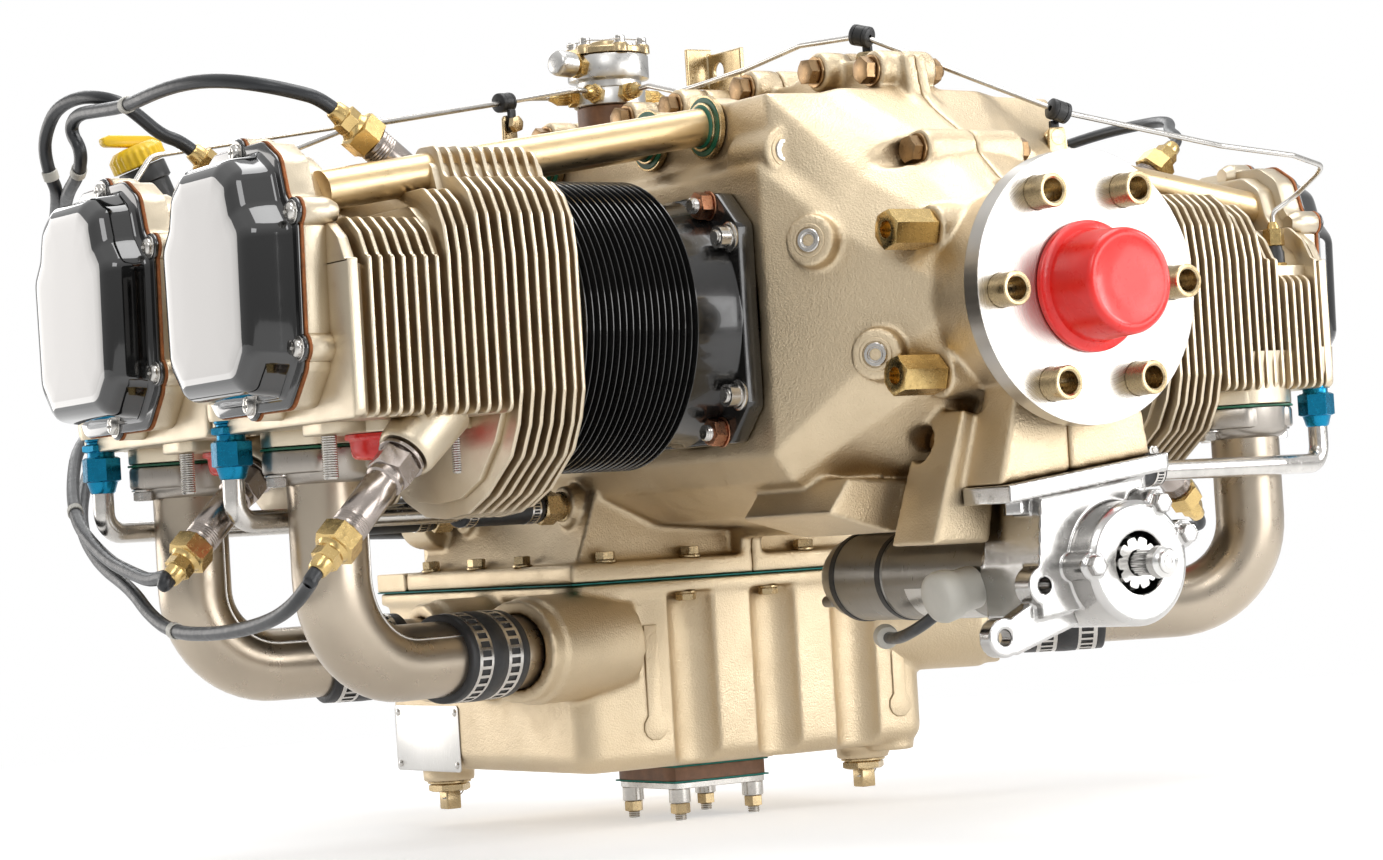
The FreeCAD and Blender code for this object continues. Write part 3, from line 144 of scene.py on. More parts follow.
def surface(name, base, metallic, rough, grain, mottle, rough_var=0.08, bevel=0.0, coat=0.0, pits=None, stretch=None,
        spec=None, grime=None):
    """A shader with mottled colour, varied roughness, bump layers, softened edges and painted shade that darkens
    recesses.
    """
    m, nt, bsdf = new_material(name)
    bsdf.inputs["Metallic"].default_value = metallic
    if coat:
        bsdf.inputs["Coat Weight"].default_value = coat
        bsdf.inputs["Coat Roughness"].default_value = 0.03
    if spec is not None:
        bsdf.inputs["Specular IOR Level"].default_value = spec
    scale, share = mottle
    low = tuple(c * (1 - share) for c in base)
    high = tuple(min(1.0, c * (1 + share * 0.6)) for c in base)
    colour = blend(nt, ranged(nt, noise(nt, scale, 5.0), 0, 1), low, high)
    # painted shade: ambient occlusion pulls the base colour toward a dark shade colour in recesses, where shade falls
    if grime:
        ao = node(nt, "AmbientOcclusion", Distance=grime[0])
        ao.samples = 6
        colour = blend(nt, ranged(nt, ao.outputs["AO"], 0, 1, 0.05, 0.75), grime[1], colour)
    nt.links.new(colour, bsdf.inputs["Base Color"])
    wear = noise(nt, scale * 5, 6.0, 0.6, stretch)
    nt.links.new(ranged(nt, wear, max(0.02, rough - rough_var), min(1.0, rough + rough_var)),
        bsdf.inputs["Roughness"])
    last = soft_edges(nt, bevel) if bevel else None
    for fine, strength, depth in [g for g in (grain, pits) if g]:
        last = relief(nt, noise(nt, fine, 3.0, 0.6, stretch), strength, depth, last)
    nt.links.new(last, bsdf.inputs["Normal"])
    return m


# key: material name, base colour, metallic, roughness, grain and mottle, then what only some surfaces have.
# Grain is (scale, strength, depth in metres); mottle is (scale, share of the colour).
# The optional last entry is painted shade in recesses: (occlusion distance in metres, shade colour).
LOOKS = {
    "cast": ("cast_gold", (0.61, 0.50, 0.345), 1.0, 0.43, (850, 0.6, 0.0007), (9, 0.10),
        dict(pits=(220, 0.22, 0.001), grime=(0.025, (0.24, 0.145, 0.05)))),
    "head": ("head_gold", (0.60, 0.52, 0.395), 1.0, 0.38, (1000, 0.4, 0.0004), (14, 0.10),
        dict(grime=(0.007, (0.26, 0.175, 0.085)))),
    "machined": ("machined_steel", (0.66, 0.65, 0.63), 1.0, 0.24, (1600, 0.06, 0.0001), (20, 0.04),
        dict(rough_var=0.04, bevel=0.0004)),
    "zinc": ("zinc_gold", (0.52, 0.40, 0.23), 1.0, 0.28, (1400, 0.06, 0.0001), (90, 0.2), dict(bevel=0.0002)),
    "bronze": ("bronze_plate", (0.34, 0.22, 0.115), 1.0, 0.32, (1400, 0.06, 0.0001), (90, 0.3), dict(bevel=0.0002)),
    "barrel": ("barrel_black", (0.012, 0.0115, 0.011), 0.0, 0.20, (900, 0.1, 0.0002), (30, 0.3),
        dict(spec=0.5, coat=0.4)),
    "aluminium": ("aluminium", (0.56, 0.55, 0.53), 1.0, 0.32, (1200, 0.12, 0.0002), (40, 0.06), dict(bevel=0.0004)),
    "polished": ("polished_aluminium", (0.50, 0.49, 0.475), 1.0, 0.22, (700, 0.08, 0.0002), (30, 0.08),
        dict(grime=(0.012, (0.16, 0.155, 0.15)))),
    "cover": ("cover_black", (0.003, 0.003, 0.003), 0.0, 0.07, (45, 0.03, 0.0004), (12, 0.1),
        dict(rough_var=0.02, coat=1.0, spec=0.5)),
    "cork": ("cork", (0.34, 0.11, 0.03), 0.0, 0.8, (500, 0.8, 0.0006), (300, 0.4), {}),
    "teal": ("gasket_teal", (0.01, 0.20, 0.17), 0.0, 0.7, (900, 0.3, 0.0002), (200, 0.3), {}),
    "red": ("red_plastic", (0.86, 0.02, 0.015), 0.0, 0.30, (700, 0.06, 0.0002), (25, 0.10),
        dict(bevel=0.0004, coat=0.15)),
    "yellow": ("yellow_plastic", (0.85, 0.55, 0.01), 0.0, 0.35, (600, 0.08, 0.0002), (25, 0.08), dict(bevel=0.0006)),
    "rubber": ("rubber", (0.016, 0.016, 0.017), 0.0, 0.48, (420, 0.35, 0.0004), (60, 0.3), {}),
    "lead": ("lead_black", (0.020, 0.022, 0.025), 0.0, 0.36, (900, 0.25, 0.0003), (50, 0.25), {}),
    "phenolic": ("phenolic", (0.20, 0.095, 0.045), 0.0, 0.45, (300, 0.3, 0.0003), (120, 0.3),
        dict(stretch=(1, 1, 20))),
    "pipe": ("pipe_steel", (0.45, 0.385, 0.305), 1.0, 0.30, (1300, 0.10, 0.0001), (16, 0.08),
        dict(rough_var=0.05, pits=(2600, 0.12, 0.0001))),
    "steel": ("fastener_steel", (0.55, 0.53, 0.50), 1.0, 0.24, (1800, 0.05, 0.0001), (80, 0.12),
        dict(rough_var=0.05, bevel=0.0002)),
    "nickel": ("plug_nickel", (0.36, 0.315, 0.285), 1.0, 0.24, (1800, 0.05, 0.0001), (60, 0.15),
        dict(rough_var=0.05, bevel=0.0002)),
    "milled": ("milled_flange", (0.36, 0.33, 0.295), 1.0, 0.34, (1500, 0.06, 0.0001), (30, 0.08),
        dict(stretch=(1, 9, 1), bevel=0.0004)),
    "copper": ("copper_plate", (0.42, 0.20, 0.115), 1.0, 0.30, (1500, 0.08, 0.0001), (90, 0.25), dict(bevel=0.0003)),
    "seal": ("seal_green", (0.01, 0.12, 0.06), 0.0, 0.4, (400, 0.2, 0.0002), (60, 0.2), {}),
    "plastic": ("black_plastic", (0.014, 0.014, 0.014), 0.0, 0.42, (500, 0.2, 0.0002), (50, 0.2), {}),
    "brass": ("brass", (0.60, 0.43, 0.18), 1.0, 0.24, (1500, 0.06, 0.0001), (80, 0.12), dict(bevel=0.0002)),
    "anodised": ("tube_gold", (0.66, 0.50, 0.29), 1.0, 0.34, (1500, 0.08, 0.0001), (30, 0.06),
        dict(stretch=(1, 4, 4))),
    "blue": ("anodised_teal", (0.004, 0.20, 0.36), 0.8, 0.24, (1500, 0.06, 0.0001), (60, 0.12), dict(bevel=0.0003)),
    "white": ("boot_white", (0.62, 0.60, 0.54), 0.0, 0.5, (400, 0.15, 0.0002), (40, 0.08), {}),
    "motor": ("motor_grey", (0.27, 0.255, 0.23), 0.9, 0.34, (1200, 0.08, 0.0001), (20, 0.10),
        dict(stretch=(1, 6, 1))),
    "plate": ("bare_plate", (0.56, 0.55, 0.53), 1.0, 0.33, (1500, 0.06, 0.0001), (30, 0.06),
        dict(stretch=(1, 12, 1))),
}
M = {key: surface(*look[:6], **look[6]) for key, look in LOOKS.items()}


def turned(name, base, rough):
    """Lathe-cut face: fine rings round the crankshaft axis."""
    m, nt, bsdf = new_material(name)
    bsdf.inputs["Metallic"].default_value = 1.0
    flat = node(nt, "VectorMath")
    flat.operation = "MULTIPLY"
    flat.inputs[1].default_value = (1, 0, 1)
    nt.links.new(node(nt, "TexCoord").outputs["Object"], flat.inputs[0])
    r = node(nt, "VectorMath", Vector=flat.outputs[0])
    r.operation = "LENGTH"
    rings = node(nt, "TexNoise", Scale=2600, Detail=3)
    rings.noise_dimensions = "1D"
    nt.links.new(r.outputs["Value"], rings.inputs["W"])
    rings = rings.outputs["Fac"]
    worn = tuple(c * 0.93 for c in base)
    nt.links.new(blend(nt, ranged(nt, noise(nt, 14), 0, 1), worn, base), bsdf.inputs["Base Color"])
    nt.links.new(ranged(nt, rings, rough - 0.07, rough + 0.07), bsdf.inputs["Roughness"])
    nt.links.new(relief(nt, rings, 0.12, 0.0002, soft_edges(nt, 0.0008)), bsdf.inputs["Normal"])
    return m


M["turned"] = turned("turned_steel", (0.54, 0.52, 0.49), 0.30)

# what the CAD solids wear, by look
FINISH = {
    "cast": "crankcase_right crankcase_left accessory_housing oil_sump magnetos",
    "teal": "case_gaskets",
    "phenolic": "induction_pad distributor_spacer",
    "turned": "crankshaft",
    "zinc": "propeller_bushings drain_back_fittings case_bolts drain_plugs distributor_cover lifting_bracket",
    "red": "crankshaft_cap exhaust_port_caps",
    "machined": "camshaft idler_gear starter_shaft starter_pinion",
    "cork": "rocker_cover_gaskets",
    "steel": "rocker_cover_screws hose_clamps spark_plugs",
    "anodised": "pushrod_tubes",
    "seal": "pushrod_tube_seals",
    "pipe": "intake_pipes drain_back_tubes fuel_lines",
    "aluminium": "intake_flanges fuel_distributor piston_1 piston_2 piston_3 piston_4",
    "copper": "cylinder_fasteners",
    "brass": "lead_nuts",
    "plastic": "fuel_nozzles oil_filler_tube",
    "rubber": "rubber_hoses line_clips starter_terminal",
    "polished": "starter_housing",
    "motor": "starter_motor",
    "cover": "oil_filter rocker_cover_1 rocker_cover_2 rocker_cover_3 rocker_cover_4",
    "yellow": "oil_filler_cap",
    "lead": "ignition_leads",
    "barrel": "cylinder_barrel_1 cylinder_barrel_2 cylinder_barrel_3 cylinder_barrel_4",
    "head": "cylinder_head_1 cylinder_head_2 cylinder_head_3 cylinder_head_4"}
for look, names in FINISH.items():
    for name in names.split():
        mesh = NODES[name].data
        mesh.materials.clear()
        mesh.materials.append(M[look])


# ---- shape helpers, in millimetres
def sides_of(d):
    d = Vector(d).normalized()
    u = d.cross(Vector((0, 0, 1)))
    if u.length < 0.01:
        u = Vector((1, 0, 0))
    u.normalize()
    return d, u, d.cross(u).normalized()


def turns(count):
    """Equal angles once round."""
    return [2 * pi * k / count for k in range(count)]


def polar(centre, u, w, r, q):
    return centre + u * (r * cos(q)) + w * (r * sin(q))


def skin(bm, rings, loop=False):
    """Faces through rings of equally many points."""
    made = [[bm.verts.new(p) for p in r] for r in rings]
    count = len(rings[0])
    pairs = list(zip(made, made[1:]))
    if loop:
        pairs.append((made[-1], made[0]))
    for a, b in pairs:
        for k in range(count):
            j = (k + 1) % count
            bm.faces.new((a[k], a[j], b[j], b[k])).smooth = True
    if not loop:
        bm.faces.new(list(reversed(made[0])))
        bm.faces.new(made[-1])


def lathe(bm, start, d, profile, segs=40, loop=False):
    """Turned shape: profile lists (distance along d, radius)."""
    d, u, w = sides_of(d)
    a = Vector(start)
    skin(bm, [[polar(a + d * t, u, w, r, q) for q in turns(segs)] for t, r in profile], loop=loop)


def rod(bm, a, b, radius, segs=32, bevel=0.5):
    d = Vector(b) - Vector(a)
    h = d.length
    lathe(bm, a, d, [(0, radius - bevel), (bevel, radius), (h - bevel, radius), (h, radius - bevel)], segs)


def rounded(points, radius, steps=5):
    """Outline with arcs at its corners."""
    pts = [Vector(p) for p in points]
    made = []
    for k, p in enumerate(pts):
        a = pts[k - 1] - p
        b = pts[(k + 1) % len(pts)] - p
        half = a.angle(b) / 2
        if half > radians(86):
            made.append(p)
            continue
        reach = min(radius / tan(half), a.length * 0.48, b.length * 0.48)
        a.normalize()
        b.normalize()
        centre = p + (a + b).normalized() * (reach / cos(half))
        out = p + a * reach - centre
        turn = pi - 2 * half
        if a.x * b.y - a.y * b.x > 0:
            turn = -turn
        for j in range(steps + 1):
            q = turn * j / steps
            made.append(centre + Vector((out.x * cos(q) - out.y * sin(q), out.x * sin(q) + out.y * cos(q))))
    return made


def oblong(x0, y0, x1, y1, radius):
    """Rectangle with rounded corners."""
    return rounded([(x0, y0), (x1, y0), (x1, y1), (x0, y1)], radius)


def inset(points, amount):
    area = sum(points[k - 1].x * p.y - p.x * points[k - 1].y for k, p in enumerate(points))
    sign = 1 if area > 0 else -1
    made = []
    for k, p in enumerate(points):
        a = (p - points[k - 1]).normalized()
        b = (points[(k + 1) % len(points)] - p).normalized()
        n = Vector((-(a.y + b.y), a.x + b.x))
        n = n.normalized() if n.length > 0.01 else Vector((-a.y, a.x))
        made.append(p + n * (sign * amount))
    return made


def slab(bm, outline, origin, u, w, depth, bevel=0.8, hole=0.0):
    """Prism with softened edges, and a round hole about its origin when one is asked for."""
    o = Vector(origin)
    u = Vector(u)
    w = Vector(w)
    d = Vector(depth)
    h = d.length
    d.normalize()
    small = inset(outline, bevel)
    mid = inset(outline, bevel * 0.3)
    rings = []
    for pts, t in ((small, 0), (mid, bevel * 0.3), (outline, bevel), (outline, h - bevel), (mid, h - bevel * 0.3),
            (small, h)):
        rings.append([o + u * p.x + w * p.y + d * t for p in pts])
    if hole:
        for t in (h, 0.0):
            rings.append([o + d * t + (u * p.x + w * p.y).normalized() * hole for p in outline])
    skin(bm, rings, loop=bool(hole))


def hexhead(bm, start, d, flats, height, sides=6, turn=0.0, hollow=0.0):
    """Chamfered nut or bolt head, with a socket or end hole if hollow is given."""
    d, u, w = sides_of(d)
    a = Vector(start)
    corner = flats / 2 / cos(pi / sides)
    drop = (corner - flats / 2) * 0.6
    count = sides * 2

    def ring(t, mid, cor, low=0.0):
        pts = []
        for k in range(count):
            q = turn + 2 * pi * k / count
            r, z = (cor, t - low) if k % 2 == 0 else (mid, t)
            pts.append(polar(a + d * z, u, w, r, q))
        return pts
    rings = [ring(0, flats / 2 - 0.2, flats / 2 - 0.2), ring(drop, flats / 2, corner, 0),
        ring(height - drop * 0.2, flats / 2, corner, drop * 0.8), ring(height, flats / 2 - 0.5, flats / 2 - 0.5)]
    if hollow:
        rings += [ring(height, hollow, hollow), ring(height - min(height, hollow * 2) * 0.8, hollow, hollow)]
    skin(bm, rings)


def threads(bm, start, d, radius, length, pitch=1.3, segs=24):
    profile = [(0, radius - 0.6)]
    t = 0.0
    while t < length - pitch:
        profile += [(t + 0.1, radius - 0.55), (t + pitch * 0.5, radius)]
        t += pitch
    profile += [(length - 0.6, radius - 0.5), (length, radius - 1.0)]
    lathe(bm, start, d, profile, segs)


def washer(bm, start, d, outer, inner, thick, segs=36):
    b = min(0.3, thick * 0.3)
    lathe(bm, start, d, [(0, inner), (0, outer - b), (b, outer), (thick - b, outer), (thick, outer - b),
        (thick, inner)], segs, loop=True)


def bolt(bm, start, d, flats, height, wash, turn):
    d = Vector(d).normalized()
    washer(bm, start, d, wash, flats * 0.28, 1.5)
    hexhead(bm, Vector(start) + d * 1.5, d, flats, height, 6, turn)


def sweep(bm, path, radius, segs=16):
    """Tube along points."""
    side = None
    rings = []
    for k, p in enumerate(path):
        way = (path[min(k + 1, len(path) - 1)] - path[max(k - 1, 0)]).normalized()
        if side is None:
            side = sides_of(way)[1]
        side = (side - way * side.dot(way)).normalized()
        other = way.cross(side)
        rings.append([polar(p, side, other, radius, q) for q in turns(segs)])
    skin(bm, rings)


def elbows(points, bend, steps=10):
    """Straight runs joined by arcs."""
    pts = [Vector(p) for p in points]
    line = [pts[0]]
    for k in range(1, len(pts) - 1):
        a = pts[k - 1] - pts[k]
        b = pts[k + 1] - pts[k]
        half = a.angle(b) / 2
        reach = min(bend / tan(half), a.length * 0.48, b.length * 0.48)
        a.normalize()
        b.normalize()
        r = reach * tan(half)
        centre = pts[k] + (a + b).normalized() * (r / sin(half))
        out = pts[k] + a * reach - centre
        for j in range(steps + 1):
            q = (pi - 2 * half) * j / steps
            line.append(centre + out * cos(q) - a * (r * sin(q)))
    line.append(pts[-1])
    return line


def flowing(points, order=3, resolution=10):
    """Points along one smooth NURBS line through the neighbourhood of the route's points."""
    data = bpy.data.curves.new("route", "CURVE")
    data.dimensions = "3D"
    data.resolution_u = resolution
    s = data.splines.new("NURBS")
    s.points.add(len(points) - 1)
    for v, p in zip(s.points, points):
        v.co = (*p, 1)
    s.order_u = order
    s.use_endpoint_u = True
    o = bpy.data.objects.new("route", data)
    me = bpy.data.meshes.new_from_object(o)
    line = [v.co.copy() for v in me.vertices]
    bpy.data.objects.remove(o)
    bpy.data.curves.remove(data)
    bpy.data.meshes.remove(me)
    return line


def finish_mesh(name, bm, material, sharp):
    bmesh.ops.recalc_face_normals(bm, faces=bm.faces)
    bm.transform(Matrix.Scale(MM, 4))
    me = bpy.data.meshes.new(name)
    bm.to_mesh(me)
    bm.free()
    me.set_sharp_from_angle(angle=radians(sharp))
    me.materials.append(M[material])
    return me


def show(name, me, nodes, body="engine", matrix=None):
    o = bpy.data.objects.new(name, me)
    scene.collection.objects.link(o)
    if matrix is not None:
        o.matrix_world = matrix
    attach(o, body)
    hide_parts(*nodes)


def piece(name, bm, material, *nodes, body="engine", sharp=34):
    show(name, finish_mesh(name, bm, material, sharp), nodes, body)


CYLINDERS = (1, 2, 3, 4)
SIDE = {1: -1, 2: 1, 3: -1, 4: 1}
CYL_Y = {n: (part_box("piston_%d" % n)[0][1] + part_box("piston_%d" % n)[1][1]) / 2 / MM for n in CYLINDERS}


def seat(n):
    turn = Matrix.Rotation(pi if SIDE[n] < 0 else 0.0, 4, "Z")
    return Matrix.Translation((0, CYL_Y[n] * MM, 0)) @ turn


def four(name, bm, material, node, sharp=34):
    """One mesh set on all four cylinders; node may hold %d."""
    me = finish_mesh(name, bm, material, sharp)
    for n in CYLINDERS:
        show("%s_%d" % (name, n), me, [node % n if "%" in node else node], "engine", seat(n))


def at(n, x, s, z):
    return Vector((SIDE[n] * x, CYL_Y[n] + SIDE[n] * s, z))


def fresh():
    return bmesh.new()


# ---- cylinders
DECK = 112
FLANGE_OUT = 124
FIN_START = 160
HEAD_IN = 237
HEAD_OUT = 381
BOX_OUT = 394
COVER_SEAT = 395.9
OUT = Vector((1, 0, 0))
S = Vector((0, 1, 0))
UP = Vector((0, 0, 1))


def plate(bm, outline, x, thick, bevel, hole=0):
    """Slab across the cylinder's axis, outwards from x."""
    slab(bm, outline, (x, 0, 0), S, UP, OUT * thick, bevel, hole)


BORE = 65.35
CORE = 70.3
CHAMBER_END = 282
BARREL_FINS = 18
bm = fresh()
half, cut = 72, 20
octagon = [(-half, -half + cut), (-half + cut, -half), (half - cut, -half), (half, -half + cut), (half, half - cut),
    (half - cut, half), (-half + cut, half), (-half, half - cut)]
plate(bm, rounded(octagon, 7), DECK + 0.3, FLANGE_OUT - DECK - 0.3, 1.4, BORE)
profile = [(FLANGE_OUT - 1, CORE + 1.6), (FLANGE_OUT + 1, CORE + 1.2), (FLANGE_OUT + 4, CORE),
    (FIN_START - 2.5, CORE - 0.4)]
pitch = (HEAD_IN - FIN_START) / BARREL_FINS
for k in range(BARREL_FINS):
    o = FIN_START + pitch * k
    profile += [(o - 0.5, CORE), (o + 0.35, CORE + 2.2), (o + 0.55, 82.6), (o + 0.85, 83.4), (o + 1.35, 83.4),
        (o + 1.65, 82.6), (o + 1.9, CORE + 2.2), (o + 2.7, CORE)]
profile += [(HEAD_IN - 0.3, CORE), (HEAD_IN - 0.3, BORE), (FLANGE_OUT - 1, BORE)]
lathe(bm, (0, 0, 0), OUT, profile, 96, loop=True)
four("barrel", bm, "barrel", "cylinder_barrel_%d", 40)

# head: fins with rounded corners over a smaller core, a rocker box and ports
HALF = 90
CROWN_Z = {"crest": 79, "middle": 72, "short": 57}
NOTCH_Z = 62
LOW = -51
NOZZLE = Vector((352, -70, 24))


def head_outline(shrink, crown, deep, pocket=False):
    h = HALF - shrink
    top = CROWN_Z[crown] - shrink
    points = [(h, -40), (h, 34), (h - 3, top - 22), (h - 10, top - 9), (h - 22, top)]
    if crown == "crest":
        points += [(56, top), (49, top + 19), (26, top + 20), (13, NOTCH_Z), (-44, NOTCH_Z), (-56, top)]
    if pocket:
        points += [(-55, top), (-55, 24), (-h, 24)]
    else:
        points += [(-h + 22, top), (-h + 10, top - 9), (-h + 3, top - 22), (-h, 34)]
    points.append((-h, -40))
    if deep:
        points += [(-h + 5, -58 + shrink), (-h + 15, -75 + shrink), (-46, -95 + shrink), (-24, -104 + shrink),
            (0, -106 + shrink), (24, -104 + shrink), (46, -95 + shrink), (h - 15, -75 + shrink),
            (h - 5, -58 + shrink)]
    else:
        points += [(-h, LOW), (h, LOW)]
    return points


FIN_T = 2.7
PITCH = 6.74
DEPTH = 9
bm = fresh()
o = HEAD_IN + 2.4
first = True
for crown, deep, count in (("crest", True, 7), ("crest", False, 3), ("middle", False, 3), ("short", False, 7)):
    inner = HEAD_IN if first else o - 1
    outer = o + PITCH * count if crown != "short" else HEAD_OUT - 3
    core = rounded(head_outline(DEPTH, crown, deep), 7)
    if first:
        plate(bm, core, inner, CHAMBER_END - inner, 0.5, BORE)
        inner = CHAMBER_END - 0.2
    plate(bm, core, inner, outer - inner, 0.5)
    first = False
    for k in range(count):
        lean = random.uniform(-0.25, 0.25)
        shrink = random.uniform(-0.2, 0.35)
        if crown == "crest" and deep and k == 0:
            shrink = 2.5
        pocket = abs(o + FIN_T / 2 - NOZZLE.x) < 12.5
        plate(bm, rounded(head_outline(shrink, crown, deep, pocket), 8), o + lean, FIN_T, 0.95,
            BORE if o < CHAMBER_END else 0)
        o += PITCH
plate(bm, rounded(head_outline(2.5, "short", False), 9), o, HEAD_OUT - o, 1.5)
cover_points = [(-60, -20), (-42, -40), (42, -40), (60, -20), (62, 54), (50, 68), (44, 88), (28, 98), (-28, 98),
    (-44, 88), (-50, 68), (-62, 54)]
MID_Z = 29
SCREWS = [(0, 98.5), (0, -39), (61.5, 60), (-61.5, 60), (60.5, -12), (-60.5, -12)]


def seat_outline(grow):
    return rounded([(s * (1 + grow / 60), (z - MID_Z) * (1 + grow / 69) + MID_Z) for s, z in cover_points], 12)


plate(bm, seat_outline(3), HEAD_OUT - 2, BOX_OUT - HEAD_OUT + 2, 0.8)
plate(bm, seat_outline(-3.5), HEAD_OUT - 14, 16, 2)
for s, z in SCREWS:
    lathe(bm, (HEAD_OUT - 8, s, z), OUT, [(0, 5), (5, 7.6), (8, 8.2), (BOX_OUT - HEAD_OUT + 7.4, 8.2),
        (BOX_OUT - HEAD_OUT + 8, 7.8)], 28)
INTAKE = Vector((327, -57, -60))
EXHAUST = Vector((325, 24, -57))
lathe(bm, INTAKE + UP * 0.3, UP, [(0, 30), (0.6, 30.8), (26, 31.5), (34, 33)], 48)
ear_points = [(-36, -8), (-18, -26), (18, -26), (36, -8), (36, 8), (18, 26), (-18, 26), (-36, 8)]
slab(bm, rounded(ear_points, 8), INTAKE + UP * 0.3, OUT, S, UP * 15, 1)
lathe(bm, EXHAUST + UP * 0.2, UP, [(0, 31.4), (0.8, 32.2), (28, 33)], 48)
slab(bm, oblong(-50, -18, 50, 18, 9), EXHAUST, OUT, S, UP * 19, 1.4)
# each plug: seat, outer end of its nut, and how far below that end its hexagon stands
PLUG_TOP = ((266, 18, 55.2), (328.5, 18, 105.8), 42)
PLUG_LOW = ((322, 64, -50), (392, 83.7, -113.7), 47)
way = Vector(PLUG_LOW[1]) - Vector(PLUG_LOW[0])
reach = way.length - PLUG_LOW[2] - 18
lathe(bm, PLUG_LOW[0], way, [(-6, 18.5), (reach - 4, 16.4), (reach - 1, 15.6), (reach, 14.4)], 36)
lathe(bm, (291, PLUG_TOP[0][1], 67.5), UP, [(0, 16), (6, 15), (8, 13)], 32)
DRAIN = Vector((376, -74, 0))
lathe(bm, DRAIN - UP * 34, -UP, [(-10, 13), (6, 12.4), (9, 11.4)], 32)
four("head", bm, "head", "cylinder_head_%d", 38)

# rocker cover: pressed dome over a flat flange
bm = fresh()
plate(bm, seat_outline(3.2), COVER_SEAT, 2.2, 0.7)
for s, z in SCREWS:
    lathe(bm, (COVER_SEAT, s, z), OUT, [(0, 7.4), (0.4, 7.9), (1.8, 7.9), (2.3, 7.4)], 28)
base = seat_outline(-3.5)
rings = []
for t, pull in ((0.5, -2.6), (2.2, -2.2), (2.9, -1), (4, -0.1), (5.5, 0.3), (10, 0.9), (16, 1.8), (20, 2.8),
        (22.8, 4.2), (25, 6.4), (26.6, 9.4), (27.4, 12.6), (27.75, 16), (27.9, 22), (28, 40), (28, 52)):
    k = 1 - pull / 62
    rings.append([Vector((COVER_SEAT + t, p.x * k, (p.y - MID_Z) * (1 - pull / 72) + MID_Z)) for p in base])
skin(bm, rings)
four("cover", bm, "cover", "rocker_cover_%d", 60)

bm = fresh()
plate(bm, seat_outline(3.9), BOX_OUT + 0.05, COVER_SEAT - BOX_OUT - 0.1, 0.3)
for s, z in SCREWS:
    lathe(bm, (BOX_OUT + 0.05, s, z), OUT, [(0, 7.9), (0.3, 8.3), (1.5, 8.3), (1.8, 7.9)], 28)
four("cover_gasket", bm, "cork", "rocker_cover_gaskets")


def pan_head(bm, start, d, radius):
    """Domed screw head with a crossed recess made of four walls and a floor."""
    d, u, w = sides_of(d)
    a = Vector(start)
    segs = 32
    arm, slot_half, depth = radius * 0.56, radius * 0.15, radius * 0.30
    top = radius * 0.62

    def cross(scale, t):
        q = slot_half * scale
        reach = arm * scale
        pts = []
        for k in range(4):
            c, s = round(cos(pi / 2 * k)), round(sin(pi / 2 * k))
            for x, y in ((q, q), (reach, q), (reach, -q)):
                pts.append(a + d * t + u * (x * c + y * s) + w * (x * s - y * c))
        return pts
    rings = [[bm.verts.new(polar(a + d * t, u, w, r, q)) for q in turns(segs)] for t, r in ((0, radius),
        (radius * 0.22, radius), (radius * 0.42, radius * 0.92), (radius * 0.55, radius * 0.78),
        (top, radius * 0.62))]
    for p, q in zip(rings, rings[1:]):
        for k in range(segs):
            bm.faces.new((p[k], p[(k + 1) % segs], q[(k + 1) % segs], q[k]))
    mouth = [bm.verts.new(p) for p in cross(1, top)]
    floor = [bm.verts.new(p) for p in cross(0.7, top - depth)]
    edges = []
    for loop in (rings[-1], mouth):
        for k in range(len(loop)):
            edges.append(bm.edges.get((loop[k - 1], loop[k])) or bm.edges.new((loop[k - 1], loop[k])))
    bmesh.ops.triangle_fill(bm, edges=edges, use_beauty=True)
    for k in range(12):
        bm.faces.new((mouth[k - 1], mouth[k], floor[k], floor[k - 1]))
    bm.faces.new(floor)
    bm.faces.new(list(reversed(rings[0])))


bm = fresh()
for s, z in SCREWS:
    washer(bm, (COVER_SEAT + 2.35, s, z), OUT, 6.6, 2.5, 0.8)
    pan_head(bm, (COVER_SEAT + 3.15, s, z), OUT, 5)
four("cover_screws", bm, "steel", "rocker_cover_screws", 40)

# nuts round the barrel's foot: copper hexagons at the corners, twelve-point steel nuts beside them
bm = fresh()
steel_bm = fresh()
for a, b, hexed in ((45, 65, True), (65, 45, False)):
    for sa in (-1, 1):
        for sb in (-1, 1):
            p = Vector((FLANGE_OUT, sa * a, sb * b))
            if hexed:
                washer(bm, p, OUT, 8.8, 4.5, 1.2)
                hexhead(bm, p + OUT * 1.2, OUT, 14.2, 8, 6, random.random())
                threads(steel_bm, p + OUT * 8, OUT, 4.7, 5.5)
            else:
                lathe(steel_bm, p, OUT, [(0, 8.4), (0.6, 8.8), (1.6, 8.8), (2.2, 8), (2.6, 6.6)], 32)
                hexhead(steel_bm, p + OUT * 2, OUT, 12.6, 7.6, 12, random.random(), 4.9)
                threads(steel_bm, p + OUT * 3, OUT, 4.4, 8)
four("base_nuts", bm, "copper", "cylinder_fasteners")
# exhaust studs and intake flange bolts
for e in (-1, 1):
    p = EXHAUST + OUT * (e * 40)
    threads(steel_bm, p, -UP, 4.5, 24)
    q = INTAKE + OUT * (e * 29.6) - UP * 15
    washer(steel_bm, q, -UP, 7.6, 3.5, 1.3)
    hexhead(steel_bm, q - UP * 1.3, -UP, 11.5, 5.6, 6, random.random())
four("studs", steel_bm, "steel", "cylinder_fasteners")

# red plugs in the exhaust ports
bm = fresh()
lathe(bm, EXHAUST, -UP, [(0.1, 26), (0.3, 27), (2.2, 27.2), (3, 26.6), (3.5, 25), (4.2, 24.4), (9, 24), (12, 23.3),
    (13.3, 22), (13.8, 20.4), (13.6, 18.6), (12.6, 17.6), (12.2, 15.5), (12.1, 6), (12, 0.6)], 64)
four("exhaust_cap", bm, "red", "exhaust_port_caps", 40)

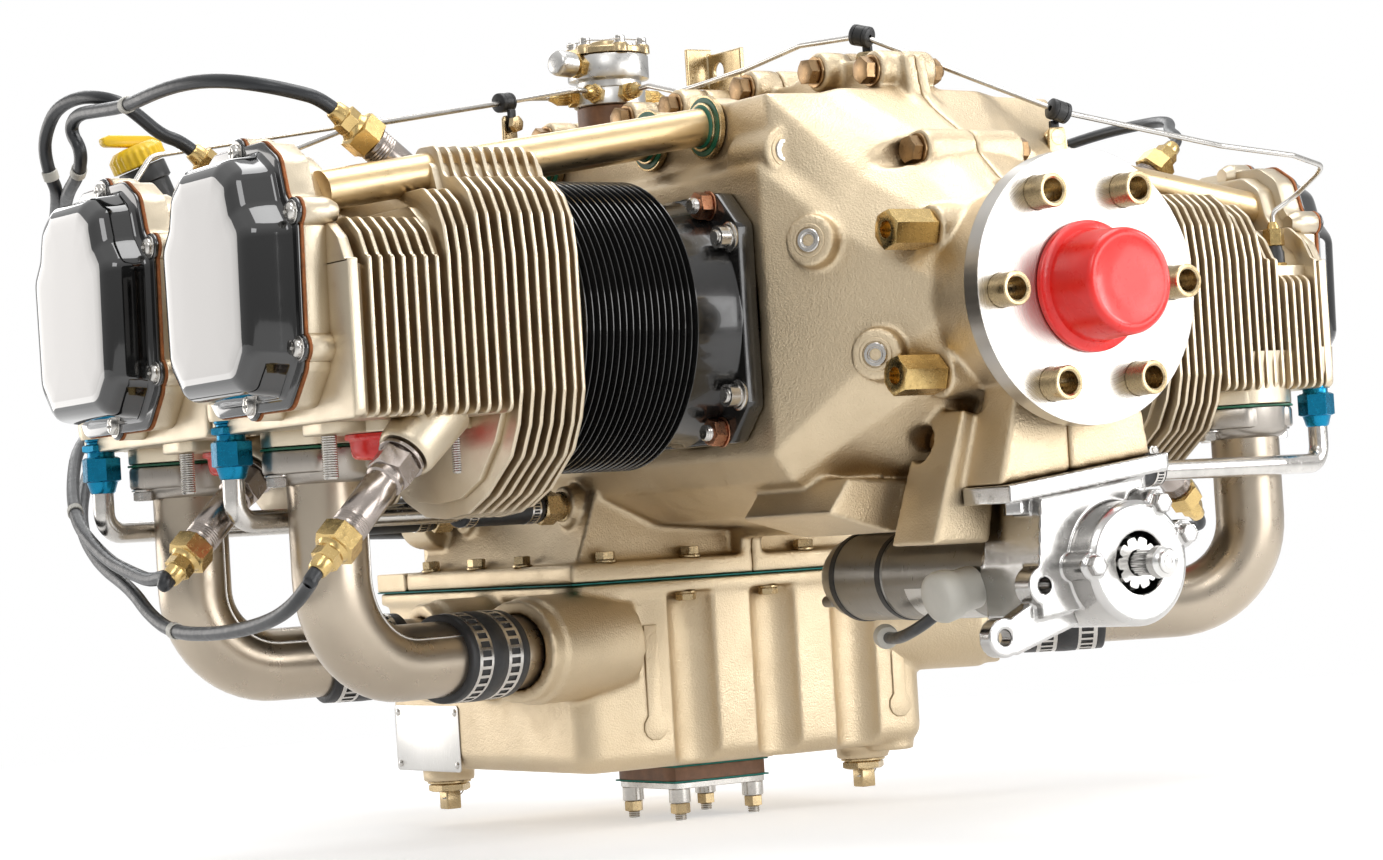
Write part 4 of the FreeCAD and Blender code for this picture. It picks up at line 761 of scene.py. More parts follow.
# intake flange, its gasket and bolts
bm = fresh()
slab(bm, rounded(ear_points, 9), INTAKE - UP * 15, OUT, S, UP * 13.6, 2.2)
lathe(bm, INTAKE - UP * 2, -UP, [(0, 29), (13, 28.6), (16, 27.2), (18.4, 24.6), (19.2, 22.4)], 48)
four("intake_flange", bm, "milled", "intake_flanges")
bm = fresh()
slab(bm, rounded([(s * 1.02, z * 1.03) for s, z in ear_points], 9), INTAKE - UP * 1.4, OUT, S, UP * 1.3, 0.2)
four("intake_gasket", bm, "seal", "intake_flanges")

# spark plugs: threaded foot, steel hexagon, shielded barrel and the lead's nuts
plug_bm = fresh()
nut_bm = fresh()
for a, b, hexed in (PLUG_TOP, PLUG_LOW):
    a = Vector(a)
    b = Vector(b)
    d = (b - a).normalized()
    h = (b - a).length
    k = h - hexed
    washer(plug_bm, a + d * (k - 16.4), d, 13.5, 8, 2.2)
    lathe(plug_bm, a, d, [(k - 19, 9.4), (k - 15, 9.4)], 28)
    hexhead(plug_bm, a + d * (k - 14.2), d, 22.2, 13.5, 6, 0.4)
    lathe(plug_bm, a, d, [(k - 1.2, 10.4), (k - 0.4, 10.6), (k + 3, 10.6), (k + 4, 9.3), (k + 6, 9.3), (k + 7, 9.8),
        (h - 13, 9.8), (h - 12, 9.3), (h - 4, 9.3)], 36)
    threads(plug_bm, a + d * (h - 14), d, 9.9, 9.5, 1.6, 36)
    hexhead(nut_bm, a + d * (h - 4.4), d, 21.6, 12.6, 6, 0.9)
    lathe(nut_bm, a, d, [(h + 8, 9.4), (h + 9.6, 8.2), (h + 11, 7.8)], 32)
    hexhead(nut_bm, a + d * (h + 10.4), d, 14, 7.5, 6, 0.1)
    lathe(nut_bm, a, d, [(h + 17.8, 6.4), (h + 19.4, 6), (h + 24, 5.4), (h + 25, 4.6)], 28)
four("spark_plug", plug_bm, "nickel", "spark_plugs")
four("plug_nut", nut_bm, "brass", "lead_nuts")

# injector nozzle in its pocket
bm = fresh()
lathe(bm, NOZZLE, UP, [(0, 7), (2, 6.6), (16, 6.4), (18, 5.4), (22, 5)], 28)
four("nozzle_body", bm, "plastic", "fuel_nozzles")
bm = fresh()
hexhead(bm, NOZZLE + UP * 4, UP, 13.2, 5, 6, 0.2)
hexhead(bm, NOZZLE + UP * 20, UP, 12.2, 11.5, 6, 0.5)
lathe(bm, NOZZLE, UP, [(31, 4.4), (34, 3.6), (36, 2.6)], 24)
four("nozzle_nut", bm, "brass", "fuel_nozzles")

# pushrod tubes with their collars
bm = fresh()
seal_bm = fresh()
collar_bm = fresh()
TUBE_Z = 114
for s, far in ((19.5, 44), (-41.5, -30)):
    a = Vector((109, s, TUBE_Z))
    b = Vector((372, far, 73))
    d = (b - a).normalized()
    h = (b - a).length
    lathe(bm, a, d, [(0, 10.4), (0.4, 11), (12, 11.05), (13, 11.05), (13.4, 11.05), (h, 11.05)], 40)
    washer(collar_bm, (104.2, s, TUBE_Z), OUT, 18.6, 11.3, 3.4, 48)
    washer(collar_bm, (107.4, s, TUBE_Z), OUT, 14.2, 11.2, 2.2, 48)
    washer(seal_bm, (106.2, s, TUBE_Z), OUT, 17.2, 11.15, 2, 48)
    lathe(seal_bm, (109, s, TUBE_Z), OUT, [(-1, 13.4), (0.6, 13), (1.6, 12.2), (2, 11.2)], 40)
four("pushrod_tube", bm, "anodised", "pushrod_tubes")
four("tube_collar", collar_bm, "zinc", "pushrod_tube_seals")
four("tube_seal", seal_bm, "seal", "pushrod_tube_seals")

# oil drain-back union under the rocker box
bm = fresh()
lathe(bm, DRAIN - UP * 36, -UP, [(2, 9.4), (8, 9.4), (9, 8.4), (17, 8.2), (18, 8.6)], 32)
hexhead(bm, DRAIN - UP * 46, -UP, 19, 5, 6, 0.3)
hexhead(bm, DRAIN - UP * 54, -UP, 20.6, 15, 6, 0.7)
lathe(bm, DRAIN - UP * 69, -UP, [(0, 9.4), (3, 8.4), (6, 7.6), (7, 6.6)], 32)
four("drain_union", bm, "blue", "drain_back_fittings")


# ---- castings: the solids with sand-cast fillets
def casting(name, node, voxel, rounds):
    me = NODES[node].data.copy()
    o = bpy.data.objects.new(name, me)
    scene.collection.objects.link(o)
    m = o.modifiers.new("skin", "REMESH")
    m.mode = "VOXEL"
    m.voxel_size = voxel * MM
    m.use_smooth_shade = True
    s = o.modifiers.new("fillet", "SMOOTH")
    s.factor = 0.5
    s.iterations = rounds
    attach(o, "engine")
    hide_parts(node)


casting("case_right", "crankcase_right", 1.7, 9)
casting("case_left", "crankcase_left", 1.7, 9)
casting("sump_shell", "oil_sump", 1.7, 6)
casting("accessory_case", "accessory_housing", 2, 5)
casting("magneto_pair", "magnetos", 1.5, 4)
casting("starter_body", "starter_housing", 0.8, 3)
casting("lift_bracket", "lifting_bracket", 0.6, 3)

# ---- intake runners
PIPE_R = 22.2
BOSS_X = 180
BOSS_Z = -186
BOSS_Y = {1: 338, 2: 332, 3: 455, 4: 447}
DRAIN_Z = -100
DRAIN_S = {1: -149, 2: -117, 3: -95, 4: -120}
pipe_bm = fresh()
seam_bm = fresh()
hose_bm = fresh()
band_bm = fresh()
screw_bm = fresh()


def drain_run(n):
    """Both ends of the level part of a drain-back line."""
    return at(n, INTAKE.x, INTAKE.y - PIPE_R - 8.5, DRAIN_Z), at(n, 118, DRAIN_S[n], DRAIN_Z)


def worm_clamp(centre, axis, radius, width, side):
    """Perforated band with a screw housing standing on the given side."""
    d = Vector(axis).normalized()
    u = Vector(side).normalized()
    w = d.cross(u).normalized()
    segs = 90
    edge = width * 0.2
    rows = [-width / 2, -width / 2 + edge, width / 2 - edge, width / 2]
    sheet = fresh()
    grid = [[sheet.verts.new(polar(Vector(centre) + d * t, u, w, radius, q)) for q in turns(segs)] for t in rows]
    for k in range(segs):
        j = (k + 1) % segs
        for r in range(3):
            if r == 1 and k % 3:
                continue
            sheet.faces.new((grid[r][k], grid[r][j], grid[r + 1][j], grid[r + 1][k]))
    bmesh.ops.recalc_face_normals(sheet, faces=sheet.faces)
    bmesh.ops.solidify(sheet, geom=sheet.faces[:], thickness=0.7)
    me = bpy.data.meshes.new("sheet")
    sheet.to_mesh(me)
    sheet.free()
    band_bm.from_mesh(me)
    bpy.data.meshes.remove(me)
    o = Vector(centre) + u * (radius + 0.5)
    size = width / 13
    shell = [(-7 * size, 0), (7 * size, 0), (7 * size, 5 * size), (4 * size, 8.5 * size), (-4 * size, 8.5 * size),
        (-7 * size, 5 * size)]
    slab(screw_bm, rounded(shell, 2 * size), o - w * (8 * size), d, u, w * (16 * size), 0.5)
    q = o + u * (4.6 * size)
    lathe(screw_bm, q, w, [(-9.5 * size, 3 * size), (-9 * size, 3.6 * size), (9.5 * size, 3.6 * size)], 24)
    hexhead(screw_bm, q + w * (9 * size), w, 8.2 * size, 5.5 * size, 6, 0.3, 1.6 * size)


for n in CYLINDERS:
    foot = at(n, INTAKE.x, INTAKE.y, 0)
    end = Vector((SIDE[n] * BOSS_X, BOSS_Y[n], 0))
    d = (end - Vector((foot.x, foot.y, 0))).normalized()

    def along(distance):
        return Vector((end.x + d.x * distance, end.y + d.y * distance, BOSS_Z))
    path = elbows([(foot.x, foot.y, INTAKE.z - 14), (foot.x, foot.y, BOSS_Z), along(-48)], 78, 14)
    sweep(pipe_bm, path, PIPE_R, 48)
    rod(pipe_bm, along(-36), along(8), PIPE_R, 48)
    flat = d.cross(UP).normalized()
    ways = [(path[min(k + 1, len(path) - 1)] - path[max(k - 1, 0)]).normalized() for k in range(len(path))]
    seam = [p + (flat * 0.8 - way.cross(flat) * 0.6).normalized() * (PIPE_R - 0.1) for p, way in zip(path, ways)]
    sweep(seam_bm, seam, 0.9, 8)
    lathe(hose_bm, along(-68), d, [(0, 22.6), (0, 25.4), (0.8, 26.2), (6, 26.3), (8, 25.7), (16, 25.7), (18, 26.6),
        (25, 26.8), (31, 26.6), (33, 25.7), (43, 25.7), (45, 26.3), (51, 26.2), (52, 25.4), (52, 22.6)], 56)
    out = Vector((d.y, -d.x, 0)) * SIDE[n]
    for k in (-56, -30):
        worm_clamp(along(k), d, PIPE_R + 4.3, 13, out)
    # oil drain-back line beside the runner
    top = at(n, DRAIN.x, DRAIN.y, -74)
    turn, goal = drain_run(n)
    inward = goal - turn
    reach = inward.length
    inward.normalize()
    sweep(seam_bm, elbows([top, (top.x, top.y, DRAIN_Z), turn, turn + inward * (reach - 62)], 20, 8), 6.35, 24)
    p = turn + inward * (reach - 92)
    lathe(hose_bm, p, inward, [(0, 6.5), (0, 9), (0.6, 9.6), (60, 9.6), (67.4, 9.6), (68, 9), (68, 6.5)], 32)
    for k in (reach - 86, reach - 32):
        worm_clamp(turn + inward * k, inward, 9.9, 8, UP)
piece("intake_runners", pipe_bm, "pipe", "intake_pipes", sharp=50)
piece("drain_lines", seam_bm, "steel", "intake_pipes", "drain_back_tubes", sharp=50)
piece("hoses", hose_bm, "rubber", "rubber_hoses", sharp=50)
piece("clamp_bands", band_bm, "steel", "hose_clamps", sharp=50)
piece("clamp_screws", screw_bm, "steel", "hose_clamps")

# case side of the drain-back lines
bm = fresh()
for n in CYLINDERS:
    turn, goal = drain_run(n)
    d = (goal - turn).normalized()
    lathe(bm, goal, d, [(-44, 5.6), (-43.4, 6.3), (-25, 6.3), (-24, 7), (-22.4, 7)], 28)
    hexhead(bm, goal - d * 22.4, d, 19, 13.5, 6, 0.4)
    lathe(bm, goal, d, [(-9, 8.2), (-2, 8.2), (-1.4, 9.4), (3, 9.4)], 28)
piece("drain_case_fittings", bm, "zinc", "drain_back_fittings")

# ---- case bolts, plugs and standoffs
# y, z, and how far out the bolt stands on each side
BOLT_SPOTS = [(216, 149, 20), (160, 142, 20), (101, 88, 34), (92, -80, 32), (290, 149, 20), (372, 149, 20),
    (430, 149, 20), (532, 149, 20)]
RAIL_Y, RAIL_Z = 350.6, -148
bolt_bm = fresh()
for y, z, x in BOLT_SPOTS:
    bolt(bolt_bm, (-x, y, z), -OUT, 14, 7, 9.4, random.random())
    extra = 3 if y == 372 else 0
    bolt(bolt_bm, (x + extra, y, z), OUT, 14, 5.6, 9.4, random.random())
    threads(bolt_bm, (x + extra + 6, y, z), OUT, 4.2, 5)
piece("through_bolts", bolt_bm, "bronze", "case_bolts")
rail_bm = fresh()
for x in (-105, -43, 43, 105):
    bolt(rail_bm, (x, RAIL_Y, RAIL_Z + 12), UP, 11, 5.4, 6.9, random.random())
for y in (412, 470, 530):
    for side in (-1, 1):
        bolt(rail_bm, (side * 128.4, y, RAIL_Z + 12), UP, 10, 5.4, 6.4, random.random())
for x in (-48, 14, 75):
    bolt(rail_bm, (x, RAIL_Y, RAIL_Z - 8.8), -UP, 11, 4.4, 6.6, random.random())
piece("rail_bolts", rail_bm, "zinc", "case_bolts")
stand_bm = fresh()
for z in (39, -42):
    hexhead(stand_bm, (-55, 68, z), -OUT, 20, 30, 6, 0.25, 5.2)
piece("brass_standoffs", stand_bm, "brass", "case_bolts")
plug_bm = fresh()
rim_bm = fresh()
core_bm = fresh()
PLUGS = [((-97, 184, 92), (-97, 142, 92), 13.5), ((-72, 134, 36), (-104, 115, 38), 15), ((-56, 106, -28),
    (-86, 83, -29), 15)]
for a, b, r in PLUGS:
    for side in (1, -1):
        p = Vector((side * b[0], b[1], b[2]))
        d = (p - Vector((side * a[0], a[1], a[2]))).normalized()
        lathe(rim_bm, p, d, [(-6, 9.6), (0.2, 9.6), (0.5, 9.2), (0.5, 7.6), (-0.6, 7.2), (-6, 7.2)], 36, loop=True)
        lathe(plug_bm, p, d, [(-9, 3.4), (-9, 6.8), (0.6, 6.8), (1.2, 6.3), (1.2, 4.6), (0.6, 4.1), (0.6, 3.4)], 32,
            loop=True)
        washer(core_bm, p - d * 8, d, 3.6, 1.4, 4, 6)
piece("plug_rims", rim_bm, "cast", "case_bolts")
piece("socket_plugs", plug_bm, "steel", "case_bolts")
piece("plug_sockets", core_bm, "plastic", "case_bolts")

# ---- sump fittings
SUMP_BOTTOM = -265
SUMP_SIDE = -131
SUMP_FRONT = 344.9
bm = fresh()
for x in (-79, 108):
    outline = [(x - 5, -176), (x + 5, -176), (x + 5, -232)]
    outline += [(x + 8.5 * sin(q), -239 - 8.5 * cos(q)) for q in [radians(v) for v in (140, 110, 80, 50, 20, -20,
        -50, -80, -110, -140)]]
    outline.append((x - 5, -232))
    slab(bm, rounded(outline, 0.8, 2), (0, SUMP_FRONT, 0), OUT, UP, (0, 1.6, 0), 0.7)
piece("sump_marks", bm, "cast", "oil_sump", sharp=60)
bm = fresh()
slab(bm, oblong(500, -266, 586, -223, 3), (SUMP_SIDE, 0, 0), S, UP, -OUT * 0.8, 0.25)
piece("data_plate", bm, "plate", "oil_sump")
bm = fresh()
for y in (504.5, 581.5):
    for z in (-261.5, -227.5):
        lathe(bm, (SUMP_SIDE - 0.7, y, z), -OUT, [(0, 2.6), (0.5, 2.4), (1.1, 1.7), (1.4, 0.8)], 20)
piece("plate_rivets", bm, "steel", "oil_sump")
bm = fresh()
wire_bm = fresh()
for x, y in ((104, 385), (-110, 556)):
    foot = SUMP_BOTTOM - 9
    washer(bm, (x, y, foot), -UP, 14.4, 6, 1.5)
    hexhead(bm, (x, y, foot - 1.5), -UP, 24, 5.5, 6, 0.35)
    slab(bm, oblong(-5.4, -5.4, 5.4, 5.4, 1.2), (x, y, foot - 6), OUT, S, -UP * 12.8, 0.8)
    loop = [(x - 6, y - 3, foot - 11), (x, y - 6.5, foot - 11.6), (x + 7, y - 2, foot - 10.5),
        (x + 14, y + 4, foot - 6), (x + 18, y + 8, foot + 3), (x + 13, y + 9, foot + 8), (x + 8, y + 5, foot + 1),
        (x + 6, y - 2, foot - 9), (x - 2, y - 7, foot - 12.5), (x - 7, y - 2, foot - 11.5)]
    sweep(wire_bm, flowing(loop, 4, 6), 0.45, 8)
piece("drain_plug_set", bm, "zinc", "drain_plugs")
piece("drain_wire", wire_bm, "steel", "drain_plugs")

# induction pad: brown spacer, steel plate and four sleeved nuts
INDUCT = (0, 431)
PAD_TOP = SUMP_BOTTOM - 3


def ring_plate(bm, z0, z1, half, hole=24, bevel=0.4):
    outer = []
    inner = []
    for q in turns(48):
        c, s = cos(q), sin(q)
        reach = min(half / max(abs(c), abs(s)), half * 1.34)
        outer.append(Vector((INDUCT[0] + reach * c, INDUCT[1] + reach * s)))
        inner.append(Vector((INDUCT[0] + hole * c, INDUCT[1] + hole * s)))
    small = inset(outer, bevel)
    rings = [[Vector((p.x, p.y, z)) for p in pts] for pts, z in ((inner, z0), (small, z0), (outer, z0 + bevel),
        (outer, z1 - bevel), (small, z1), (inner, z1))]
    skin(bm, rings, loop=True)


bm = fresh()
ring_plate(bm, PAD_TOP - 10, PAD_TOP - 1, 36)
piece("pad_spacer", bm, "phenolic", "induction_pad")
bm = fresh()
ring_plate(bm, PAD_TOP - 15, PAD_TOP - 11, 35.5)
nut_bm = fresh()
for sx in (-1, 1):
    for sy in (-1, 1):
        p = Vector((INDUCT[0] + sx * 28, INDUCT[1] + sy * 28, PAD_TOP - 15))
        lathe(bm, p, -UP, [(0, 6.6), (0.4, 7), (8.4, 7), (8.9, 6.6)], 32)
        threads(bm, p - UP * 8, -UP, 3.9, 14.5)
        hexhead(nut_bm, p - UP * 9, -UP, 11, 6.8, 6, random.random())
piece("pad_plate", bm, "steel", "induction_pad")
piece("pad_nuts", nut_bm, "zinc", "case_bolts")

# ---- propeller flange
BUSHING_CIRCLE = 60.325
bm = fresh()
for k in range(6):
    q = radians(1.3 + 60 * k)
    p = (BUSHING_CIRCLE * cos(q), 12, BUSHING_CIRCLE * sin(q))
    lathe(bm, p, -S, [(0.2, 6.35), (0.2, 9.4), (12, 9.4), (25.8, 9.4), (26.5, 8.9), (26.6, 7.4), (25.9, 6.4)], 40,
        loop=True)
piece("bushings", bm, "zinc", "propeller_bushings", body="crank_train")
bm = fresh()
lathe(bm, (0, 0, 0), -S, [(0.35, 29), (0.35, 35.6), (0.9, 36.3), (3.4, 36.3), (4, 35.7), (4.3, 32.2), (5.2, 31),
    (7, 30.6), (33.5, 29.2), (35.6, 28.4), (36.7, 26.8), (37, 24.8), (36.6, 23.6), (36.2, 22.6), (36.1, 12),
    (36.1, 0.5)], 96)
lathe(bm, (0, 0, 0), S, [(-1, 28), (-1, 29.2), (6.6, 29.4), (7, 28.9), (7, 26)], 64, loop=True)
piece("shaft_cap", bm, "red", "crankshaft_cap", body="cap", sharp=40)

# ---- fuel distributor and lines
DIST = Vector((0, 481, 164))
bm = fresh()
lathe(bm, DIST - UP * 16, UP, [(0, 21.2), (0.6, 22), (15.2, 22), (15.8, 21.4)], 64)
piece("distributor_base", bm, "phenolic", "distributor_spacer")
body_bm = fresh()
lathe(body_bm, DIST, UP, [(0.2, 23.2), (0.8, 24), (11, 24), (11.8, 23.4), (12.4, 21.6), (16.6, 21.6), (17.2, 24.4),
    (17.8, 26.6), (18.6, 27), (32.6, 27), (33.4, 26.4), (33.8, 25.4)], 72)
brass_bm = fresh()
OUTLETS = {1: (-24, 463), 2: (-2, 453), 3: (-26, 486), 4: (26, 481)}
ends = {}
for n, (x, y) in OUTLETS.items():
    d = Vector((x, y - DIST.y, 0)).normalized()
    p = DIST + UP * 7 + d * 17
    hexhead(brass_bm, p + d * 1, d, 11.4, 11, 6, 0.3)
    lathe(brass_bm, p, d, [(11, 4.6), (14, 4.6)], 24)
    f, g = sides_of(d)[1:]
    for q in turns(18):
        lathe(brass_bm, polar(p + d * 13, f, g, 4.5, q), d, [(0, 0.5), (0.4, 0.7), (7.2, 0.7), (7.6, 0.5)], 8)
    lathe(brass_bm, p, d, [(12.6, 4.4), (21.4, 4.4), (24, 2.9), (26, 2.2)], 24)
    ends[n] = (p, d)
side = Vector((-16, -4, 1)).normalized()
p = DIST + Vector((-24, -6.5, 26))
hexhead(brass_bm, p, side, 14, 7, 6, 0.2)
lathe(brass_bm, p, side, [(6.5, 5.4), (11, 5.4)], 28)
lathe(body_bm, p, side, [(10, 7.6), (10.6, 8.4), (22, 8.6), (24, 8), (25.4, 6.4), (25.8, 3)], 36)
lid_bm = fresh()
lathe(lid_bm, DIST, UP, [(34, 25.6), (34.6, 26.6), (37.8, 26.6), (38.6, 25.8), (38.9, 20), (39.2, 12.4),
    (40.6, 11.6), (43.2, 11.2), (43.8, 10.4)], 72)
screws_bm = fresh()
for k in range(6):
    q = radians(20 + 60 * k)
    c = DIST + Vector((23 * cos(q), 23 * sin(q), 34.2))
    lathe(lid_bm, c, UP, [(0, 5.6), (5.2, 5.4), (5.8, 4.9)], 24)
    mid = DIST + Vector((15 * cos(q), 15 * sin(q), 38.6))
    u = Vector((cos(q), sin(q), 0))
    slab(lid_bm, oblong(-8, -1.5, 8, 1.5, 0.8), mid, u, UP.cross(u), UP * 1.8, 0.5)
    washer(screws_bm, c + UP * 5.8, UP, 4.4, 2, 0.7)
    lathe(screws_bm, c + UP * 6.5, UP, [(0, 3.6), (3.8, 3.6), (4.3, 3.2)], 24)
wire = []
for k in range(25):
    q = radians(20 + 15 * k)
    r = 23 + (4 if k % 4 == 2 else 3.6 if k % 2 else 3.2)
    wire.append(DIST + Vector((r * cos(q), r * sin(q), 42.2 + 0.7 * sin(2.1 * k))))
sweep(screws_bm, flowing(wire, 4, 3), 0.42, 8)
piece("distributor_body", body_bm, "aluminium", "fuel_distributor", sharp=40)
piece("distributor_outlets", brass_bm, "brass", "fuel_distributor")
piece("distributor_lid", lid_bm, "zinc", "distributor_cover", sharp=40)
piece("distributor_screws", screws_bm, "steel", "distributor_cover")

LINE_R = 1.7
LINE_ROUTES = {1: [(-90, 466, 164), (-250, 380, 134), (-345, 300, 104), (-352, 298.5, 92), (-352, 298.5, 58)],
    2: [(0, 398, 163), (0, 320, 166), (0, 259, 172), (4, 200, 169), (84, 118, 114), (250, 164, 101), (322, 176, 97),
    (364, 192, 92), (364, 222, 76), (352, 231.7, 66), (352, 231.7, 58)], 3: [(-70, 498, 170), (-330, 488, 130),
    (-352, 479.7, 104), (-352, 479.7, 58)], 4: [(70, 474, 170), (330, 405, 130), (352, 412.8, 104), (352, 412.8, 58)]}
bm = fresh()
for n, route in LINE_ROUTES.items():
    p, d = ends[n]
    sweep(bm, elbows([p + d * 24, p + d * 38] + route, 14, 8), LINE_R, 14)
piece("fuel_tubes", bm, "steel", "fuel_lines", sharp=50)

# cushioned clips that hold the lines, each on a small stand
CLIPS = [((-90, 466, 164), (-80, -24, -9), 126.2), ((4, 200, 169), (20, -45, -14), 150),
    ((84, 118, 114), (1, -0.1, -0.3), 80)]
bm = fresh()
band_bm = fresh()
stand_bm = fresh()
for p, way, low in CLIPS:
    p = Vector(p)
    d = Vector(way).normalized()
    lathe(bm, p, d, [(-6, 1.75), (-6, 5.6), (-5.4, 6.3), (-3.2, 6.4), (-3, 5.4), (3, 5.4), (3.2, 6.4), (5.4, 6.3),
        (6, 5.6), (6, 1.75)], 32, loop=True)
    lathe(band_bm, p, d, [(-2.8, 5.2), (-2.8, 6.3), (2.8, 6.3), (2.8, 5.2)], 32, loop=True)
    e = Vector((d.x, d.y, 0)).normalized()
    f = UP.cross(e)
    slab(band_bm, oblong(-2.9, 0, 2.9, 14, 1), p - UP * 19 + f * 4.6, e, UP, f * 1.2, 0.3)
    slab(band_bm, oblong(-2.9, 0, 2.9, 14, 1), p - UP * 19 + f * 6, e, UP, f * 1.2, 0.3)
    hexhead(stand_bm, p - UP * 15 + f * 7.2, f, 9.5, 4.2, 6, 0.3)
    lathe(stand_bm, p - UP * 15 + f * 4.4, -f, [(0, 5), (2, 5), (2.4, 4.6)], 24)
    slab(stand_bm, rounded([(-7, low - p.z - 2), (7, low - p.z - 2), (6, -9), (-6, -9)], 3), p + f * 2.2, e, UP,
        f * 2.2, 0.5)
piece("clip_cushions", bm, "rubber", "line_clips", sharp=50)
piece("clip_bands", band_bm, "plastic", "line_clips")
piece("clip_stands", stand_bm, "zinc", "line_clips")

# ---- starter
SX, SZ = 25, -153
PINION_TIP = 15.9
MX, MZ = -2, -154
bm = fresh()
lathe(bm, (MX, 0, MZ), S, [(74.2, 25.2), (75, 26), (170, 26), (170.6, 25.4), (171.4, 25.4), (172, 26), (218, 26),
    (224, 26), (226, 25.4), (233, 23.5), (239, 20.4), (242.5, 16), (243, 11)], 64)
for k in range(2):
    q = radians(40 + 180 * k)
    p = polar(Vector((MX, 232, MZ)), OUT, UP, 21, q)
    rod(bm, p, p + S * 10, 3.4)
piece("motor_can", bm, "motor", "starter_motor", sharp=40)
bm = fresh()
for y in (175, 221):
    washer(bm, (MX, y - 2.4, MZ), S, 26.5, 25.8, 4.8, 64)
piece("motor_rings", bm, "rubber", "starter_motor")
bm = fresh()
arc = [radians(v) for v in range(196, 262, 6)]
skin(bm, [[Vector((MX + r * cos(q), y, MZ + r * sin(q))) for r, y in ((26, 96), (26.25, 96), (26.25, 150),
    (26, 150))] for q in arc])
piece("motor_label", bm, "plate", "starter_motor", sharp=60)
white_bm = fresh()
p = Vector((-24, 84, -160.6))
d = Vector((-28, 0, -5.6)).normalized()
lathe(white_bm, p, d, [(3, 10.5), (4, 12.4), (17, 12.6), (20, 14.4), (27, 14.9), (30, 14), (31.4, 11.6), (31.8, 6)],
    48)
lathe(white_bm, (-35, 158, -189), (8, 14, 1), [(0, 4.4), (1, 6.2), (9, 7.2), (13, 7.2), (14, 6.4)], 36)
piece("terminal_boot", white_bm, "white", "starter_terminal", sharp=50)
bm = fresh()
sweep(bm, flowing([(-45, 84, -168), (-48, 92, -176), (-48, 118, -186), (-40, 145, -190), (-31, 166, -188.6),
    (-25, 177, -187.4)], 4, 8), 3.5, 16)
piece("starter_cable", bm, "lead", "starter_terminal", sharp=60)
bm = fresh()
lathe(bm, (SX, -24, SZ), S, [(0, 5.4), (0.6, 6.4), (2, 6.5), (3.4, 7.6), (4, 8.8), (9.4, 9), (10, 8.4), (10.4, 6.5),
    (69, 6.5)], 48)


def round_spindle(y, r, q):
    return polar(Vector((SX, y, SZ)), OUT, UP, r, q)


for q in turns(14):
    lathe(bm, round_spindle(-13, 6.3, q), S, [(0, 0.5), (0.5, 0.9), (14, 0.9), (14.6, 0.5)], 8)
lathe(bm, (SX, -24.4, SZ), S, [(0, 2.2), (0, 3.4), (0.6, 4.2), (1.2, 4.2), (1.2, 2.2)], 36, loop=True)
piece("spindle", bm, "machined", "starter_shaft", body="starter_spindle")


def tooth_outline(count, root, tip):
    pts = []
    for q in turns(count):
        for r, w in ((root, 0.30), (root + 2.5, 0.215), (tip - 1.6, 0.145), (tip, 0.085)):
            pts.append((q - w, r))
        for r, w in ((tip, 0.085), (tip - 1.6, 0.145), (root + 2.5, 0.215), (root, 0.30)):
            pts.append((q + w, r))
    return pts


bm = fresh()
teeth = tooth_outline(10, 11.4, PINION_TIP)
rings = []
for y, pull in ((2.1, 1.6), (4.4, 0), (19.4, 0), (19.9, 0.6)):
    rings.append([round_spindle(y, min(r, PINION_TIP - pull), q) for q, r in teeth])
inner = [[round_spindle(y, 7.4, q) for q, r in teeth] for y in (19.9, 2.1)]
skin(bm, rings + inner, loop=True)
piece("pinion_gear", bm, "machined", "starter_pinion", body="pinion", sharp=28)

# ---- oil filler, filter and rear accessories
mouth = Vector((-277, 620, 140))
lean = (mouth - Vector((-186, 604, -96))).normalized()
bm = fresh()
sweep(bm, elbows([(-92.3, 590, -100), (-186, 604, -96), mouth - lean * 0.4], 34, 10), 14, 40)
lathe(bm, mouth, lean, [(-12, 14.6), (-11, 16), (-1, 16), (-0.4, 15.4)], 40)
piece("filler_pipe", bm, "plastic", "oil_filler_tube", sharp=50)
bm = fresh()
u, w = sides_of(lean)[1:]
rings = []
for t, r, wave in ((0.4, 17, 0), (1, 18, 0.5), (9, 18, 0.5), (10.6, 17, 0.2), (13.6, 14, 0), (14.4, 10, 0)):
    rings.append([polar(mouth + lean * t, u, w, r + wave * cos(24 * q), q) for q in turns(144)])
skin(bm, rings)
grip = [(-21.5, 0), (21.5, 0), (20.5, 6), (14, 8.4), (-14, 8.4), (-20.5, 6)]
slab(bm, rounded(grip, 3), mouth + lean * 13.6 - S * 4, OUT, lean, S * 8, 1.6)
lathe(bm, mouth, lean, [(-205, 1.2), (-204, 2), (2, 2)], 16)
piece("filler_knob", bm, "yellow", "oil_filler_cap", body="filler_cap", sharp=40)
bm = fresh()
FILTER = Vector((0, 606, -62))
lathe(bm, FILTER, S, [(0.3, 26), (21, 26), (22, 35), (23, 37), (26, 37.4), (27, 36.6), (30, 36.6), (96, 36.8),
    (102, 35), (105.4, 30), (106, 22)], 72)
hexhead(bm, FILTER + S * 105.6, S, 25, 10.4, 6, 0.3)
piece("filter_can", bm, "cover", "oil_filter", sharp=40)

# ---- ignition leads
LEAD_R = 4
HUB_X = {1: -52, 3: -52, 2: 52, 4: 52}
MAG_Y, MAG_Z = 690, 44
